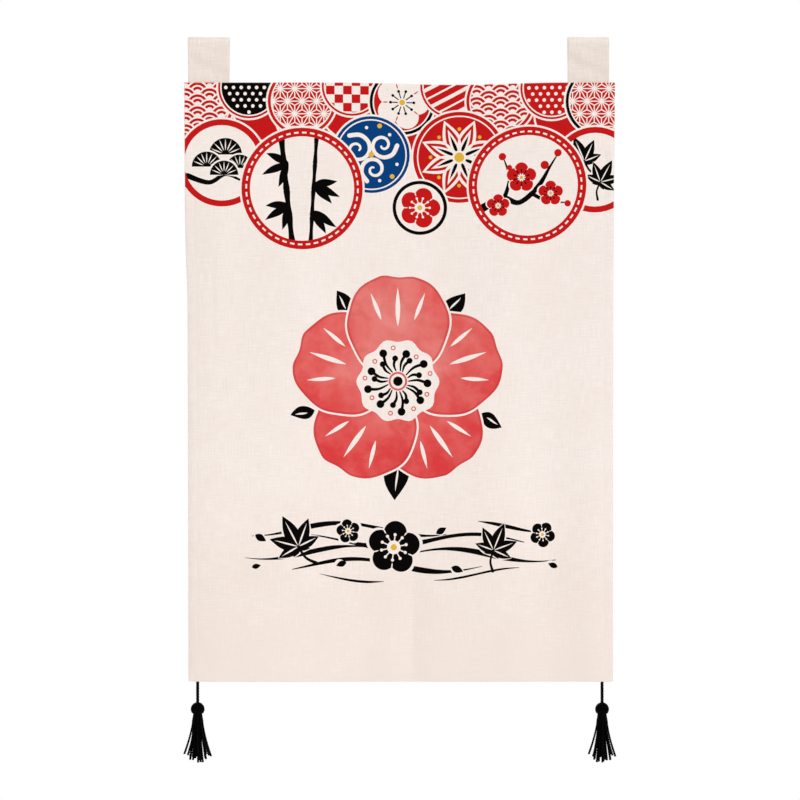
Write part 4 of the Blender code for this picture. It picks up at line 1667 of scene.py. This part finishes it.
def white_strength(tree):
    """Plain white to look at, but a weaker light on the cloth, so that its folds still show."""
    seen = add_node(tree, "LightPath")["Is Camera Ray"]
    return add_node(tree, "MapRange", {"Value": seen, "To Min": AMBIENT, "To Max": 1.0})[0]


bpy.ops.object.select_all(action="DESELECT")
bpy.ops.mesh.primitive_circle_add(vertices=96, radius=FLOOR_RADIUS, fill_type="NGON",
                                  location=(0, 0, FLOOR_Z))
floor = settle(bpy.context.active_object, "floor")
paper, paper_tree, paper_shader = new_finish("matt white paper")
paper_shader.inputs["Base Color"].default_value = (*linear("#F8F7F5"), 1)
paper_shader.inputs["Roughness"].default_value = 0.9
paper_shader.inputs["Emission Color"].default_value = (1, 1, 1, 1)
paper_shader.inputs["Emission Strength"].default_value = 0.14
level = add_node(paper_tree, "Mapping", {0: add_node(paper_tree, "TexCoord")["Object"],
                                         "Scale": (1.0, 1.0, 0.0)})["Vector"]
from_middle = add_node(paper_tree, "VectorMath", {0: level}, operation="LENGTH")["Value"]
fade = add_node(paper_tree, "MapRange", {"Value": from_middle, "From Min": FADE_FROM,
                                         "From Max": FADE_TO}, interpolation_type="SMOOTHSTEP")[0]
glow = add_node(paper_tree, "Emission", {"Color": (1, 1, 1, 1),
                                         "Strength": white_strength(paper_tree)})[0]
faded = add_node(paper_tree, "MixShader", {0: fade, 1: paper_shader.outputs[0], 2: glow})[0]
paper_tree.links.new(faded, paper_tree.nodes["Material Output"].inputs["Surface"])
floor.data.materials.append(paper)
floor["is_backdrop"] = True

world = bpy.data.worlds.new("white studio")
bpy.context.scene.world = world
world.use_nodes = True
air = world.node_tree
air.links.new(white_strength(air), air.nodes["Background"].inputs["Strength"])
air.nodes["Background"].inputs["Color"].default_value = (1, 1, 1, 1)


def soft_light(name, place, aim, size, watts, hex_colour="#FFFFFF"):
    bpy.ops.object.select_all(action="DESELECT")
    bpy.ops.object.light_add(type="AREA", location=place)
    light = bpy.context.active_object
    light.name = name
    light.data.size = size
    light.data.energy = watts
    light.data.color = linear(hex_colour)
    light.rotation_euler = (Vector(aim) - Vector(place)).to_track_quat("-Z", "Y").to_euler()


MIDDLE = (0.0, 0.0, -0.42)
soft_light("key", (5.0, -3.9, 2.5), MIDDLE, 1.4, 221)
soft_light("fill", (-1.9, -2.2, -0.3), MIDDLE, 1.4, 20.5, "#FFFCF8")
soft_light("back", (-0.8, 2.2, 0.7), MIDDLE, 1.4, 34)
soft_light("top", (0.0, 0.0, 0.9), (0.0, 0.0, 0.0), 0.4, 2.2)

# %% Set the camera
LENS, SENSOR, FRAME_WIDTH = 200.0, 36.0, 0.9340
VIEW_X, VIEW_Z = 0.0004, -0.4224
distance = LENS / SENSOR * FRAME_WIDTH
bpy.ops.object.camera_add(location=(VIEW_X, FRONT_Y - distance, VIEW_Z),
                          rotation=(math.pi / 2, 0, 0))
camera = bpy.context.active_object
camera.data.lens = LENS
camera.data.sensor_width = SENSOR
camera.data.clip_end = 50.0
bpy.context.scene.camera = camera
bpy.context.scene.view_settings.view_transform = "Standard"
print("camera", round(distance, 2), "m in front")

# %% Write the sizes and finish
plain = [[list(corner) for corner in box] for box in (cad_box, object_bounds())]
print("CAD box", plain[0], "visual box", plain[1])
